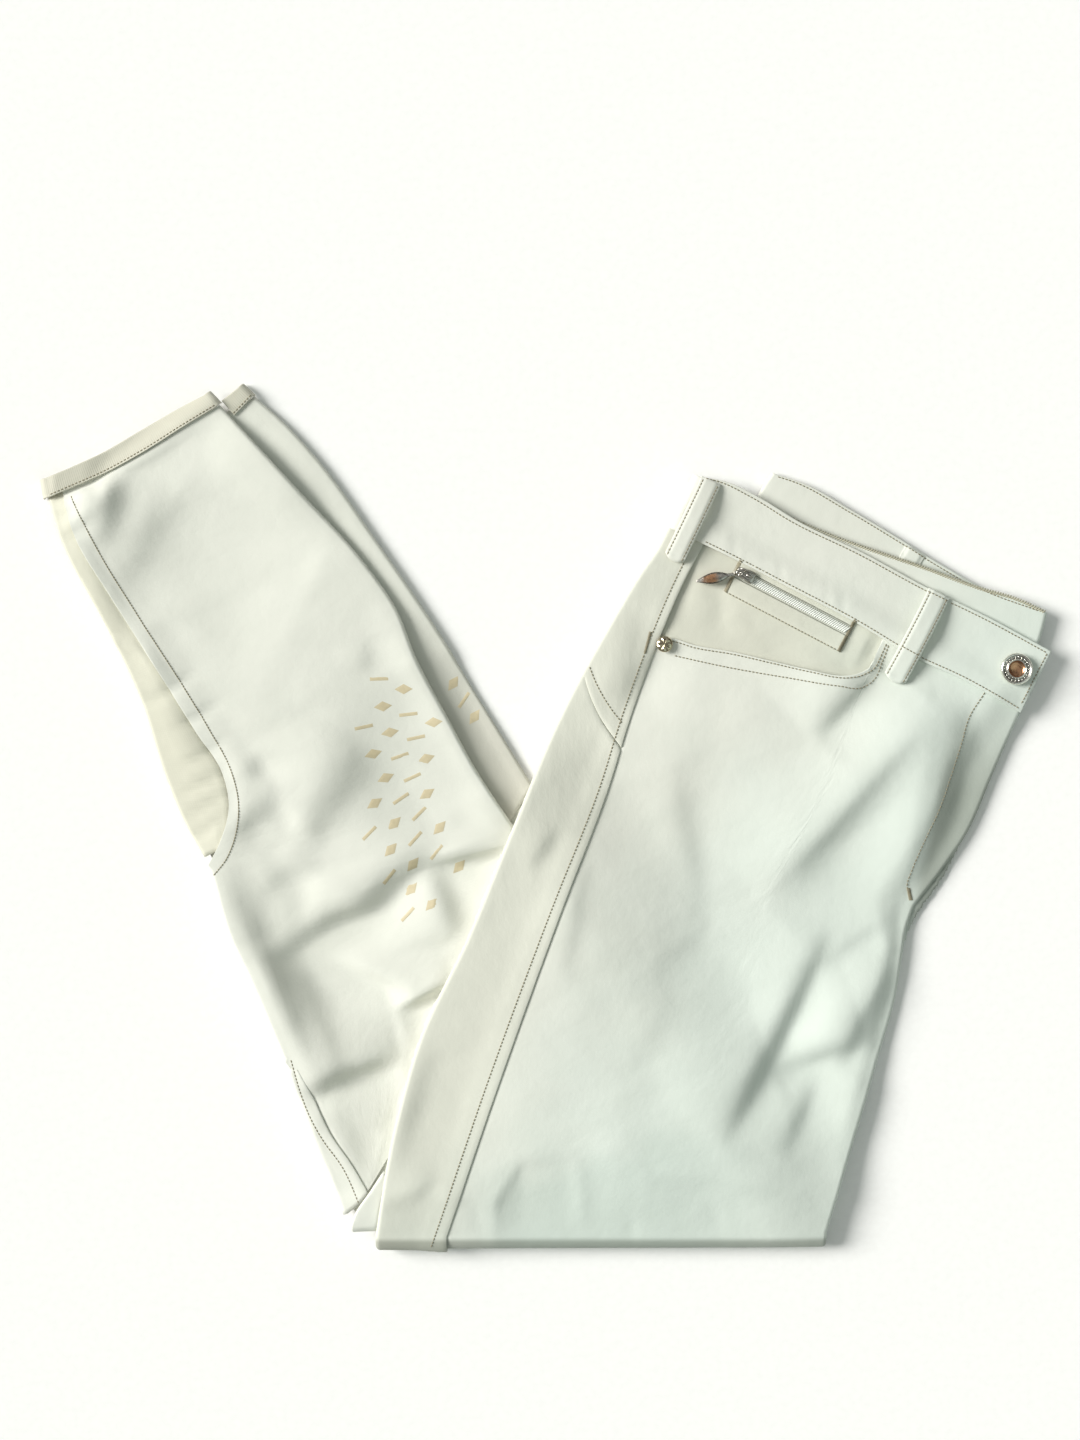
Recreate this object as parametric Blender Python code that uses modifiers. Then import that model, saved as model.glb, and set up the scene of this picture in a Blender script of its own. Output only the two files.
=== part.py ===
"""Riding breeches, folded along the centre seams and again at the knee, lying on a flat surface.

The outlines are in millimetres, seen from above with +Y towards the hems and the waist, and +Z is up.
Each cloth panel spans four boundary curves, takes its height from a field of folds and gets its
thickness inwards. The layers that are folded away inside share one solid.
"""

import math
from collections import namedtuple

import bpy
import numpy as np

MM = 0.001

# Cloth and layers
CLOTH = 1.2
BAND_CLOTH = 2.0
SEAM_GAP = 0.5
LAP = CLOTH + SEAM_GAP
HEM_LAP = LAP + 0.2
TUCK = 3.0
ROLL = 2.4
BAND_ROLL = 4.9
LEG_THICK = 2 * ROLL
LAP_FALL = 6.0
PRESSED = 1.5

# Heights of the outer faces above the surface that the breeches lie on
RIGHT_SHIN_TOP = LEG_THICK
LEFT_SHIN_TOP = 9.9
THIGH_TOP = 10.2
THIGH_RISE = 10.3
THIGH_LOWEST = 7.5
CORNER_TOP = 15.0
FACING_DROP = 1.9

# Fold at the knee
KNEE_LINE = -243.0
KNEE_DEPTH = 9.0
CORNER_LINE = -232.8
CORNER_DEPTH = 4.5
CORNER_ROLL = 1.6

# Walls round a garment fold turn this far, in degrees
SIDE_TURN = 150.0
CORNER_TURN = 92.0
HEM_TURN = 115.0
BAND_TURN = 120.0
KNEE_TURNS = (22, 45, 68, 90, 115, 140)
SIDE_STEPS = 4

# Solid of the hidden layers
CORE_GAP = 0.7
CORE_REACH = 7.0
CORNER_INSET = 9.0

# Size of a cell of the cloth's grids
CELL = 13.0

Fold = namedtuple("Fold", "x0 y0 x1 y1 width height")
Crease = namedtuple("Crease", "points width height")
Level = namedtuple("Level", "share left right")

# Plan curves, as x and y from the waist or the hem down to the knee
BACK_FOLD = ((73.6, 167), (51.5, 136), (38, 113), (13, 68), (-21, -11), (-44, -67), (-70, -122), (-84, -170),
             (-97, -243))
SIDE_SEAM = ((91, 158), (78, 133), (65.5, 104), (57.5, 83), (47, 53), (37.5, 22), (9.5, -51), (-27, -152),
             (-58, -243))
FLY_EDGE = ((270, 62), (254, 25), (239, -9), (226, -28), (209.5, -49.5))
INSEAM = ((209.5, -49.5), (205, -62), (202.5, -77), (198.5, -102), (188, -138), (156.5, -242))
WAIST_SEAM = ((70, 167), (109, 148), (133, 135.5), (174, 114), (210, 93), (236, 81), (270, 62))
FRONT_WAIST_SEAM = ((193, 104), (210, 95), (236, 83), (270.5, 64))
YOKE_SEAM = ((13, 85.5), (20.5, 79), (26, 66), (33, 54), (42.5, 41))
MOUTH = ((63, 103), (73.3, 102.3), (84, 99), (105.8, 95.2), (127.4, 90.3), (149, 85.3), (170.6, 81.7), (177, 82.5))
MOUTH_END = ((177, 82.5), (184, 86), (189, 95), (193, 104))
BAND_TOP = ((84, 195.5), (98, 193), (117, 184), (140, 170), (178, 151.5), (215, 131.5), (249, 115), (286, 95))
INNER_BAND_TOP = ((138, 171), (163, 160.5), (193, 150), (214, 143), (245, 131.5), (267, 125), (284.5, 117))
OUTER_BAND_TOP = ((129, 197), (144, 192), (172, 176.5), (202, 158.5), (222, 146), (247, 132), (283, 118.5))
LEFT_OUTLINE = ((-282, 182), (-274, 158), (-250, 112), (-229, 68), (-214, 22), (-205, 0), (-190, -26))
LEFT_WRAP = ((-190, -26), (-177, -68), (-166, -91), (-146, -137))
LEFT_KNEE = ((-146, -137), (-140, -157), (-130.5, -181), (-121, -204), (-114, -224))
INSERT_SEAM = ((-273.5, 186.5), (-264.5, 158), (-248, 130), (-218, 83), (-196, 48), (-182, 27), (-178, 8),
               (-183, -12), (-190, -26))
LEFT_SEAM = ((-140.5, -138), (-132, -155), (-121.5, -177), (-109, -195), (-99.5, -211.5))
LEFT_SHIN = ((-184, 234.5), (-141, 188), (-102, 145), (-84, 119), (-73, 92), (-53.5, 55), (-40, 30), (-17, -5))
LEFT_HEM = ((-282, 182), (-246, 198), (-224, 210), (-204, 222.5), (-184, 234.5))
LEFT_HEM_EDGE = ((-284.5, 193), (-277, 196), (-255, 206), (-228, 221.5), (-205, 234.5), (-191, 241.5))
RIGHT_SHIN = ((-165, 240), (-148, 225), (-128, 203), (-95.5, 158), (-64, 112), (-36, 67.5), (-6, 18))
RIGHT_HEM = ((-175.9, 228.7), (-171, 233.7), (-165.5, 239.5))
RIGHT_HEM_EDGE = ((-183.2, 237.1), (-178.5, 241), (-172.5, 246))
CORNER_SIDE = ((-87.5, -192.5), (-100, -211.5), (-106, -220), (-111, -232.8))
SHIN_UNDER_THIGH = ((-6, 18), (156.5, -242))

# Ridges (height above 0) and troughs of the cloth
THIGH_FOLDS = (
    Fold(200, 11, 181, -45, 13, 1.0),
    Fold(144, -153, 130, -178, 10, -0.8),
    Fold(88, 28, 88, -68, 13, -0.9),
    Fold(-25, -215, 17, -187, 9, 1.2),
    Fold(17, -187, 88, -209, 9, 1.2),
    Fold(59, 124, 42, 67, 12, -0.9),
    Fold(110, 60, 40, -120, 60, 1.2),
)
# Slopes along a line: the cloth is low to the left of the way along it and high to the right, or the other way
# round for a height above 0
THIGH_CREASES = (
    Crease(((218, 60), (179, 20), (147, -16), (120, -46)), 13, -2.0),
    Crease(((240, 76), (233, 25), (228, -3), (220, -26), (210, -52)), 15, -2.0),
    Crease(((166, -58), (151, -92), (140, -116), (129, -138), (113, -164), (103, -180)), 12, -2.2),
    Crease(((199, -82), (183, -111), (166, -143)), 12, -1.8),
)
# Fall of the thigh towards its right edge: height along the leg, width and depth of the fall
EDGE_FALL = ((-200, 16, 0), (-130, 16, 1.8), (-100, 16, 2.6), (-72, 16, 2.6), (-45, 24, 2.8), (0, 27, 3.4),
             (40, 26, 3.4), (80, 18, 1.8))
SHIN_FOLDS = (
    Fold(-237, 196, -246, 172, 8, -1.2),
    Fold(-215, 169, -240, 141, 8, -0.7),
    Fold(-56, -23, -34, -20, 7, -1.0),
    Fold(-170, 120, -120, 60, 34, 1.0),
    Fold(-200, 10, -206, 44, 6, -0.8),
)
SHIN_CREASES = (
    Crease(((-183, -12), (-174, -35), (-162, -61), (-149, -89), (-135, -119), (-122, -150)), 12, -2.2),
    Crease(((-172, -86), (-136, -69), (-117, -56), (-101, -49), (-86, -36), (-56, -16)), 11, 2.4),
    Crease(((-138, -159), (-126, -151), (-114, -144), (-100, -140), (-82, -136)), 10, 2.0),
)
CREASE_SLOPE = 1.4
CREASE_SPREAD = 0.06
CREASE_FADE = 2.2

# Pocket zip, along the line of its teeth
ZIP_START = (119.5, 134.0)
ZIP_ALONG = (0.886, -0.464)
ZIP_OPENING = (-14.0, 60.0)
TAPE_HALF = 2.9
TAPE_CLOTH = 0.7
WELT_GAP = 0.3
UPPER_WELT_EDGE = 7.4
LOWER_WELT_EDGE = 13.2
WELT_LEVEL = 1.7
TAPE_LEVEL = 1.1

# Slider, with its pull tab hanging from a bail
BAIL_SHARE = -9.7
BAIL_OFFSET = 0.9
SLIDER_LENGTH = 11.0
SLIDER_WIDTH = 7.0
SLIDER_NOSE = 4.6
SLIDER_HEIGHT = 2.2
SLIDER_CLEAR = 0.4
BAIL_INSIDE = 3.2
BAIL_HEIGHT = 2.0
BAIL_WIRE = 0.7
BAIL_WIDTH = 1.0
PULL_HEADING = math.radians(190.6)
PULL_TILT = math.radians(5.6)
PULL_WIRE = 0.4
PULL_LOOP_HALF = 2.1
PULL_LOOP_LENGTH = 5.2
PULL_NECK = 8.0
PULL_LENGTH = 27.0
PULL_HALF_WIDTH = 3.1
PULL_NECK_HALF = 1.4
PULL_PLATE = 0.9

RIVET_CENTRE = (67.5, 99.0)
RIVET_PROFILE = ((4.5, 0.0), (4.5, 0.7), (3.6, 1.3), (1.6, 1.7), (0.0, 1.7))
RIVET_SHANK = 2.6
RIVET_LIFT = 2.2
BUTTON_CENTRE = (266.0, 85.0)
BUTTON_PROFILE = ((8.4, 0.0), (9.0, 0.8), (8.8, 2.0), (7.6, 2.8), (6.0, 2.5), (5.2, 1.7), (4.4, 1.5), (0.0, 1.7))
BUTTON_LIFT = 0.4
ROUND_STEPS = 24

# Belt loops: the middle of the upper end, the middle of the lower end, half the width
Loop = namedtuple("Loop", "x0 y0 x1 y1 half_width arch")
SIDE_LOOP = Loop(94.0, 191.5, 72.3, 146.2, 6.0, 2.6)
FRONT_LOOP = Loop(222.7, 128.0, 196.5, 78.2, 6.6, 2.6)
BACK_LOOP = Loop(210.2, 152.3, 205.0, 143.5, 6.4, 0.0)
LOOP_CLOTH = 1.6
LOOP_END = 12.8

# Heights of the waistband's layers
FRONT_BAND_TOP = 10.8
INNER_BAND_TOP_HEIGHT = 8.2
OUTER_BAND_TOP_HEIGHT = 4.6
BACK_LOOP_TOP = 5.9
WAIST_SLAB_TOP = 2.2

MATERIALS = {
    "cloth": ((0.74, 0.75, 0.67, 1.0), 0.8, 0.0),
    "stretch_cloth": ((0.64, 0.64, 0.55, 1.0), 0.85, 0.0),
    "elastic": ((0.58, 0.58, 0.47, 1.0), 0.9, 0.0),
    "tape": ((0.60, 0.60, 0.50, 1.0), 0.8, 0.0),
    "nickel": ((0.72, 0.68, 0.60, 1.0), 0.3, 1.0),
}


def smooth(value, low, high):
    """0 below LOW and 1 above HIGH, with an eased rise between."""
    share = np.clip((value - low) / (high - low), 0, 1)
    return share * share * (3 - 2 * share)


class Curve:
    """A smooth plan curve through one or more short runs of points, with corners between the runs."""

    SAMPLES = 12

    def __init__(self, *runs):
        traced = [self.trace(np.array(run, float)) for run in runs]
        for run in range(1, len(traced)):
            traced[run] = traced[run][1:]
        self.points = np.concatenate(traced)
        steps = np.linalg.norm(np.diff(self.points, axis=0), axis=1)
        self.length = steps.sum()
        self.shares = np.concatenate([[0], np.cumsum(steps)]) / self.length

    def trace(self, knots):
        if len(knots) == 2:
            return knots
        spans = np.linalg.norm(np.diff(knots, axis=0), axis=1)
        times = np.concatenate([[0], np.cumsum(spans)])
        slopes = np.gradient(knots, times, axis=0)
        found = []
        for start in range(len(knots) - 1):
            t = np.arange(self.SAMPLES)[:, None] / self.SAMPLES
            span = spans[start]
            found.append(
                (2 * t**3 - 3 * t**2 + 1) * knots[start]
                + (t**3 - 2 * t**2 + t) * span * slopes[start]
                + (3 * t**2 - 2 * t**3) * knots[start + 1]
                + (t**3 - t**2) * span * slopes[start + 1]
            )
        return np.concatenate(found + [knots[-1:]])

    def at(self, share):
        """Points at these shares of the length."""
        return np.stack([np.interp(share, self.shares, self.points[:, axis]) for axis in (0, 1)], axis=-1)

    def normal(self, share):
        """Unit vectors to the left of the way along the curve."""
        reach = 2.0 / self.length
        way = self.at(np.minimum(share + reach, 1)) - self.at(np.maximum(share - reach, 0))
        way = way / np.linalg.norm(way, axis=-1, keepdims=True)
        return np.stack([-way[..., 1], way[..., 0]], axis=-1)

    def shifted(self, distance):
        """The curve moved to its left, by one distance or by a function of the share of length."""
        moved = Curve(self.points[[0, -1]])
        far = distance(self.shares)[:, None] if callable(distance) else distance
        moved.points = self.points + far * self.normal(self.shares)
        steps = np.linalg.norm(np.diff(moved.points, axis=0), axis=1)
        moved.length = steps.sum()
        moved.shares = np.concatenate([[0], np.cumsum(steps)]) / moved.length
        return moved

    def part(self, start, end):
        """The stretch between two shares."""
        inside = self.shares[(self.shares > start + 1e-4) & (self.shares < end - 1e-4)]
        piece = Curve(self.at(np.array([start, end])))
        piece.points = self.at(np.concatenate([[start], inside, [end]]))
        steps = np.linalg.norm(np.diff(piece.points, axis=0), axis=1)
        piece.length = steps.sum()
        piece.shares = np.concatenate([[0], np.cumsum(steps)]) / piece.length
        return piece

    def share_near(self, point):
        """The share of the length nearest to a point."""
        shares = np.linspace(0, 1, 800)
        return shares[np.argmin(np.linalg.norm(self.at(shares) - np.array(point), axis=1))]

    def nearest(self, x, y):
        """Distance of plan points from the curve, positive to its left, and the share of length that is nearest."""
        marks = np.linspace(0, 1, max(8, int(self.length / 6)))
        line = self.at(marks)
        start, way = line[:-1], np.diff(line, axis=0)
        spots = np.stack([np.asarray(x, float), np.asarray(y, float)], axis=-1)
        best = np.full(spots.shape[:-1], np.inf)
        side = np.ones(spots.shape[:-1])
        share = np.zeros(spots.shape[:-1])
        for number in range(len(way)):
            apart = spots - start[number]
            along = np.clip((apart @ way[number]) / (way[number] @ way[number]), 0, 1)
            gap = apart - along[..., None] * way[number]
            far = np.hypot(gap[..., 0], gap[..., 1])
            closer = far < best
            cross = way[number, 0] * apart[..., 1] - way[number, 1] * apart[..., 0]
            best = np.where(closer, far, best)
            side = np.where(closer, np.where(cross >= 0, 1, -1), side)
            share = np.where(closer, (number + along) / len(way), share)
        return side * best, share

    def distance(self, x, y):
        return self.nearest(x, y)[0]


def folded(folds, x, y):
    """Height that ridges and troughs add at plan points."""
    total = np.zeros_like(np.asarray(x, float))
    for fold in folds:
        way = np.array([fold.x1 - fold.x0, fold.y1 - fold.y0])
        length = np.hypot(*way)
        along = ((x - fold.x0) * way[0] + (y - fold.y0) * way[1]) / length
        across = ((x - fold.x0) * way[1] - (y - fold.y0) * way[0]) / length
        past = np.maximum(0, np.maximum(-along, along - length))
        total += fold.height * np.exp(-(across**2 + past**2) / fold.width**2)
    return total


def creased(creases, x, y):
    """Height that sloping creases add at plan points. Each one fades towards its ends."""
    total = np.zeros_like(np.asarray(x, float))
    for crease in creases:
        apart, share = Curve(crease.points).nearest(x, y)
        reach = apart / crease.width
        fade = 1 - np.abs(2 * share - 1) ** CREASE_FADE
        total += crease.height * fade * np.tanh(CREASE_SLOPE * reach) * np.exp(-CREASE_SPREAD * reach**2)
    return total


LEFT_SIDE = Curve(LEFT_OUTLINE, LEFT_WRAP, LEFT_KNEE)
RIGHT_LEG_SIDE = LEFT_SIDE.shifted(5.6)
RIGHT_HEM_LINE = Curve(((-291, 143), (-191, 230), (-152, 264)))
THIGH_EDGE = Curve(BACK_FOLD)
THIGH_FRONT = Curve(FLY_EDGE, INSEAM)
SHIN_EDGE = Curve(SHIN_UNDER_THIGH)
WAIST = Curve(WAIST_SEAM)
LEFT_HEM_CURVE = Curve(LEFT_HEM)


def rise(x, y):
    """Height of the lower legs under the thighs."""
    return THIGH_RISE * smooth(-SHIN_EDGE.distance(x, y), -48, 23)


def thigh_height(x, y):
    """Outer face of the uppermost thigh layer."""
    calm = smooth(WAIST.distance(x, y), -4, -22) * smooth(y, KNEE_LINE + 2, KNEE_LINE + 34)
    found = THIGH_TOP + rise(x, y) + calm * (folded(THIGH_FOLDS, x, y) + creased(THIGH_CREASES, x, y))
    along, width, depth = np.array(EDGE_FALL, float).T
    fallen = np.interp(y, along, depth) * (1 - smooth(-THIGH_FRONT.distance(x, y), 0, np.interp(y, along, width)))
    return THIGH_LOWEST + np.logaddexp(0, found - fallen - THIGH_LOWEST)


def facing_height(x, y):
    return thigh_height(x, y) - FACING_DROP


def right_shin_height(x, y):
    return RIGHT_SHIN_TOP + 0 * x


def left_shin_height(x, y):
    """Outer face of the left lower leg, which droops where no layer of the right one is under it."""
    beside = 0.45 + 0.55 * smooth(RIGHT_LEG_SIDE.distance(x, y), -5, 12)
    beyond = smooth(-RIGHT_HEM_LINE.distance(x, y), -18, -1)
    resting = LEG_THICK + 0.3
    calm = smooth(LEFT_HEM_CURVE.distance(x, y), -3, -12)
    found = calm * (folded(SHIN_FOLDS, x, y) + creased(SHIN_CREASES, x, y))
    return resting + (LEFT_SHIN_TOP - resting) * beside * beyond + found


def floor_level(x, y):
    return 0 * x


def corner_height(x, y):
    return CORNER_TOP + 0 * x


def front_band_height(x, y):
    """The waistband laps over the panels below it and falls towards its upper edge."""
    above = WAIST.distance(x, y)
    lapped = thigh_height(x, y) + BAND_CLOTH + SEAM_GAP
    return lapped + (FRONT_BAND_TOP - lapped) * smooth(above, 3, 16)


def inner_band_height(x, y):
    return INNER_BAND_TOP_HEIGHT + 0 * x


def outer_band_height(x, y):
    return OUTER_BAND_TOP_HEIGHT + 0 * x


def material(name):
    found = bpy.data.materials.get(name)
    if found:
        return found
    colour, roughness, metallic = MATERIALS[name]
    made = bpy.data.materials.new(name)
    made.use_nodes = True
    shader = made.node_tree.nodes["Principled BSDF"]
    shader.inputs["Base Color"].default_value = colour
    shader.inputs["Roughness"].default_value = roughness
    shader.inputs["Metallic"].default_value = metallic
    made.diffuse_color = colour
    return made


def new_object(name, points, faces, finish, collection, smooth_shaded=True):
    """An object from points in millimetres."""
    mesh = bpy.data.meshes.new(name)
    mesh.from_pydata([tuple(float(c) * MM for c in point) for point in points], [], faces)
    mesh.materials.append(material(finish))
    if smooth_shaded:
        mesh.shade_smooth()
    made = bpy.data.objects.new(name, mesh)
    collection.objects.link(made)
    return made


def grid_faces(rows, columns, start=0):
    """Quads of a grid stored row by row, facing up where rows run down and columns run right."""
    faces = []
    for row in range(rows - 1):
        for column in range(columns - 1):
            corner = start + row * columns + column
            faces.append((corner, corner + columns, corner + columns + 1, corner + 1))
    return faces


def coons(top, bottom, left, right, across, down):
    """Plan points of a grid between boundary points: TOP and BOTTOM by ACROSS, LEFT and RIGHT by DOWN."""
    u = across[None, :, None]
    v = down[:, None, None]
    ends = (1 - v) * top[None, :] + v * bottom[None, :]
    left_ends = (1 - down)[:, None] * top[0] + down[:, None] * bottom[0]
    right_ends = (1 - down)[:, None] * top[-1] + down[:, None] * bottom[-1]
    return ends + (1 - u) * (left - left_ends)[:, None] + u * (right - right_ends)[:, None]


Turn = namedtuple("Turn", "depth angles")
KNEE = Turn(KNEE_DEPTH, KNEE_TURNS)


def cloth_grid(top, bottom, left, right, height, across, down, turn_left=0.0, turn_right=0.0, lift=0.0,
               turn_end=None, roll=ROLL):
    """Points of a panel. Its sides can turn round a garment fold by an angle, and its end round the knee."""
    turn_left = np.radians(turn_left(down) if callable(turn_left) else turn_left + 0 * down)
    turn_right = np.radians(turn_right(down) if callable(turn_right) else turn_right + 0 * down)
    left_in = roll * np.sin(np.minimum(turn_left, math.pi / 2))
    right_in = roll * np.sin(np.minimum(turn_right, math.pi / 2))
    left_way = -left.normal(down)
    right_way = right.normal(down)
    left_points = left.at(down) - left_way * left_in[:, None]
    right_points = right.at(down) - right_way * right_in[:, None]
    plan = coons(top.at(across), bottom.at(across), left_points, right_points, across, down)
    x, y = plan[..., 0], plan[..., 1]
    widths = np.linalg.norm(right_points - left_points, axis=1)[:, None]
    base = height(x, y)
    raised = lift(across[None, :] * widths, (1 - across)[None, :] * widths, x, y) if callable(lift) else lift + 0 * x
    points = [np.stack([x, y, base + raised], axis=-1)]
    normals = [np.broadcast_to([0.0, 0.0, 1.0], points[0].shape)]
    ways = [left_way, right_way]
    if turn_end:
        half = base[-1] / 2
        for degrees in turn_end.angles:
            angle = math.radians(degrees)
            depth = turn_end.depth * np.ones_like(half)
            normal = np.stack([0 * half, -half * math.sin(angle), depth * math.cos(angle)], axis=-1)
            normal /= np.linalg.norm(normal, axis=-1, keepdims=True)
            middle = np.stack([x[-1], y[-1] - depth * math.sin(angle), half + half * math.cos(angle)], axis=-1)
            points.append((middle + raised[-1][:, None] * normal)[None])
            normals.append(normal[None])
        level = len(turn_end.angles)
        ways = [np.concatenate([way, np.repeat(way[-1:], level, axis=0)]) for way in ways]
        turn_left = np.concatenate([turn_left, np.repeat(turn_left[-1:], level)])
        turn_right = np.concatenate([turn_right, np.repeat(turn_right[-1:], level)])
        raised = np.concatenate([raised, np.repeat(raised[-1:], level, axis=0)])
    points = np.concatenate(points)
    normals = np.concatenate(normals)
    columns = [points]
    for side, way, turn in ((0, ways[0], turn_left), (-1, ways[1], turn_right)):
        if turn.max() == 0:
            continue
        inner, normal = points[:, side], normals[:, side]
        radius = roll + raised[:, side, None]
        out = np.concatenate([way, np.zeros((len(way), 1))], axis=1)
        out = out - (out * normal).sum(-1, keepdims=True) * normal
        out /= np.linalg.norm(out, axis=-1, keepdims=True)
        rolled = []
        for step in range(1, SIDE_STEPS + 1):
            angle = (turn * step / SIDE_STEPS)[:, None]
            rolled.append(inner + radius * (np.sin(angle) * out - (1 - np.cos(angle)) * normal))
        rolled = np.stack(rolled, axis=1)
        columns = [rolled[:, ::-1]] + columns if side == 0 else columns + [rolled]
    return np.concatenate(columns, axis=1)


def shares(length, cell=CELL, least=2):
    return np.linspace(0, 1, max(least, round(length / cell)) + 1)


def cloth(name, top, bottom, left, right, height, finish, thickness=CLOTH, across=None, down=None, **options):
    """A cloth wall of even thickness under its outer face."""
    if across is None:
        across = shares(max(top.length, bottom.length))
    if down is None:
        down = shares(max(left.length, right.length))
    points = cloth_grid(top, bottom, left, right, height, across, down, **options)
    rows, columns = points.shape[:2]
    made = new_object(name, points.reshape(-1, 3), grid_faces(rows, columns), finish, PARTS)
    wall = made.modifiers.new("thickness", "SOLIDIFY")
    wall.thickness = thickness * MM
    wall.offset = -1
    wall.use_even_offset = True
    return made


def lapped(from_right, extra=0.0):
    """Lift of a panel that laps over its neighbour along one side, over a strip beside that side."""

    def lift(left_distance, right_distance, x, y):
        distance = right_distance if from_right else left_distance
        return LAP * (1 - smooth(distance, TUCK + 0.8 + extra, TUCK + 0.8 + extra + LAP_FALL))

    return lift


def edge_shares(length, first, cell=CELL, steps=2):
    """Shares with narrow cells for FIRST millimetres of the start."""
    near = np.linspace(0, first, steps + 1)[:-1]
    count = max(2, round((length - first) / cell))
    return np.concatenate([near, np.linspace(first, length, count + 1)]) / length


def underside(height, x, y, thickness=CLOTH):
    """Height that stays under a wall's inner face all round a plan point."""
    lowest = np.full(np.shape(x), np.inf)
    for east in (-CORE_REACH, 0, CORE_REACH):
        for north in (-CORE_REACH, 0, CORE_REACH):
            lowest = np.minimum(lowest, height(x + east, y + north))
    return lowest - thickness - CORE_GAP


def block(name, top, bottom, left, right, levels, across, down):
    """A closed solid inside four plan curves. Each level has its insets from the sides and its height."""
    u_grid, v_grid = np.meshgrid(across, down)
    top_line, bottom_line = top.at(across), bottom.at(across)
    left_line, right_line = left.at(down), right.at(down)
    plan = coons(top_line, bottom_line, left_line, right_line, across, down)
    width = np.linalg.norm(right_line - left_line, axis=1)[:, None] + 0 * u_grid
    length = np.linalg.norm(bottom_line - top_line, axis=1)[None, :] + 0 * v_grid
    layers = []
    for level in levels:
        inset_left, inset_right, inset_top, inset_bottom, height = level(plan[..., 0], plan[..., 1])
        u = inset_left / width + u_grid * (1 - (inset_left + inset_right) / width)
        v = inset_top / length + v_grid * (1 - (inset_top + inset_bottom) / length)
        layers.append(np.stack([*read_grid(plan, u * (len(across) - 1), v * (len(down) - 1)), height], axis=-1))
    rows, columns = u_grid.shape
    rim = rim_indices(rows, columns)
    points = [layers[0].reshape(-1, 3)]
    faces = [tuple(reversed(face)) for face in grid_faces(rows, columns)]
    ring_before = rim
    count = rows * columns
    for number, layer in enumerate(layers[1:], 1):
        last = number == len(layers) - 1
        if last:
            points.append(layer.reshape(-1, 3))
            ring = [count + index for index in rim]
            faces += grid_faces(rows, columns, count)
        else:
            points.append(layer.reshape(-1, 3)[rim])
            ring = list(range(count, count + len(rim)))
            count += len(rim)
        for spot, below in enumerate(ring_before):
            following = (spot + 1) % len(rim)
            faces.append((below, ring_before[following], ring[following], ring[spot]))
        ring_before = ring
    return new_object(name, np.concatenate(points), faces, "cloth", HELPERS)


def rim_indices(rows, columns):
    """Border points of a grid, going down the left side first."""
    left = [row * columns for row in range(rows)]
    bottom = [(rows - 1) * columns + column for column in range(1, columns)]
    right = [row * columns + columns - 1 for row in range(rows - 2, -1, -1)]
    top = list(range(columns - 2, 0, -1))
    return left + bottom + right + top


def read_grid(plan, column, row):
    """Plan coordinates at fractional columns and rows, continued straight past the border."""
    rows, columns = plan.shape[:2]
    column_start = np.clip(np.floor(column).astype(int), 0, columns - 2)
    row_start = np.clip(np.floor(row).astype(int), 0, rows - 2)
    u, v = (column - column_start)[..., None], (row - row_start)[..., None]
    upper = plan[row_start, column_start] * (1 - u) + plan[row_start, column_start + 1] * u
    lower = plan[row_start + 1, column_start] * (1 - u) + plan[row_start + 1, column_start + 1] * u
    found = upper * (1 - v) + lower * v
    return found[..., 0], found[..., 1]


def knee_inset(height, full):
    """Inset of the hidden layers from the knee fold, inside the wall that turns round it."""
    wall = CLOTH + CORE_GAP
    half = full / 2
    share = np.clip((height - half) / (half - wall), -1, 1)
    return KNEE_DEPTH - (KNEE_DEPTH - wall) * np.sqrt(1 - share**2) + 0.3


# Bulges of the two thigh tubes at their folded sides: share of the stack, inset at the left and the right
THIGH_LEVELS = (
    Level(0.03, 1.9, 0.9),
    Level(0.08, 1.4, 0.4),
    Level(0.26, 1.0, 0.0),
    Level(0.44, 1.5, 0.5),
    Level(0.53, 3.5, 3.5),
    Level(0.80, 2.9, 2.9),
    Level(1.00, 3.9, 3.9),
)


def thigh_block():
    """Hidden layers from the waist to the knee."""
    top = Curve(BAND_TOP).shifted(-7.0)
    left = Curve(((82.5, 188), (74, 170), BACK_FOLD[0]), BACK_FOLD)
    right = Curve(((283, 90), (270, 62)), FLY_EDGE, INSEAM)
    bottom = Curve(((-97, KNEE_LINE), (156.5, KNEE_LINE)))
    across = shares(bottom.length, 19)
    down = shares(left.length, 17)

    def stack_top(x, y):
        hip = smooth(y + 0.5 * x, 95, 125)
        return underside(thigh_height, x, y) - FACING_DROP * hip

    def side_insets(x, y, left_inset, right_inset):
        near_knee = smooth(y, KNEE_LINE + 22, KNEE_LINE + 12)
        outside = np.exp(-((x - 219) ** 2 + (y + 46) ** 2) / 28**2) * 5.0
        left_inset = left_inset + (3.8 - left_inset) * near_knee
        right_inset = right_inset + (3.8 - right_inset) * near_knee
        return left_inset, right_inset, outside

    def ground(x, y):
        lifted = smooth(rise(x, y), 0.5, 4)
        left_inset, right_inset, _ = side_insets(x, y, 2.2 + 1.4 * lifted, 1.2 + 2.4 * lifted)
        return left_inset, right_inset, 2.0, KNEE_DEPTH + 1.0, 0 * x

    def level_at(level):
        def found(x, y):
            under, full = rise(x, y), stack_top(x, y)
            height = under + level.share * (full - under)
            left_inset, right_inset, outside = side_insets(x, y, level.left, level.right)
            if level.share < 0.5:
                right_inset = right_inset - outside
            return left_inset, right_inset, 2.0 * abs(level.share - 0.5), knee_inset(height, thigh_height(x, y)), height

        return found

    levels = [ground] + [level_at(level) for level in THIGH_LEVELS]
    return block("hidden_thighs", top, bottom, left, right, levels, across, down)


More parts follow.
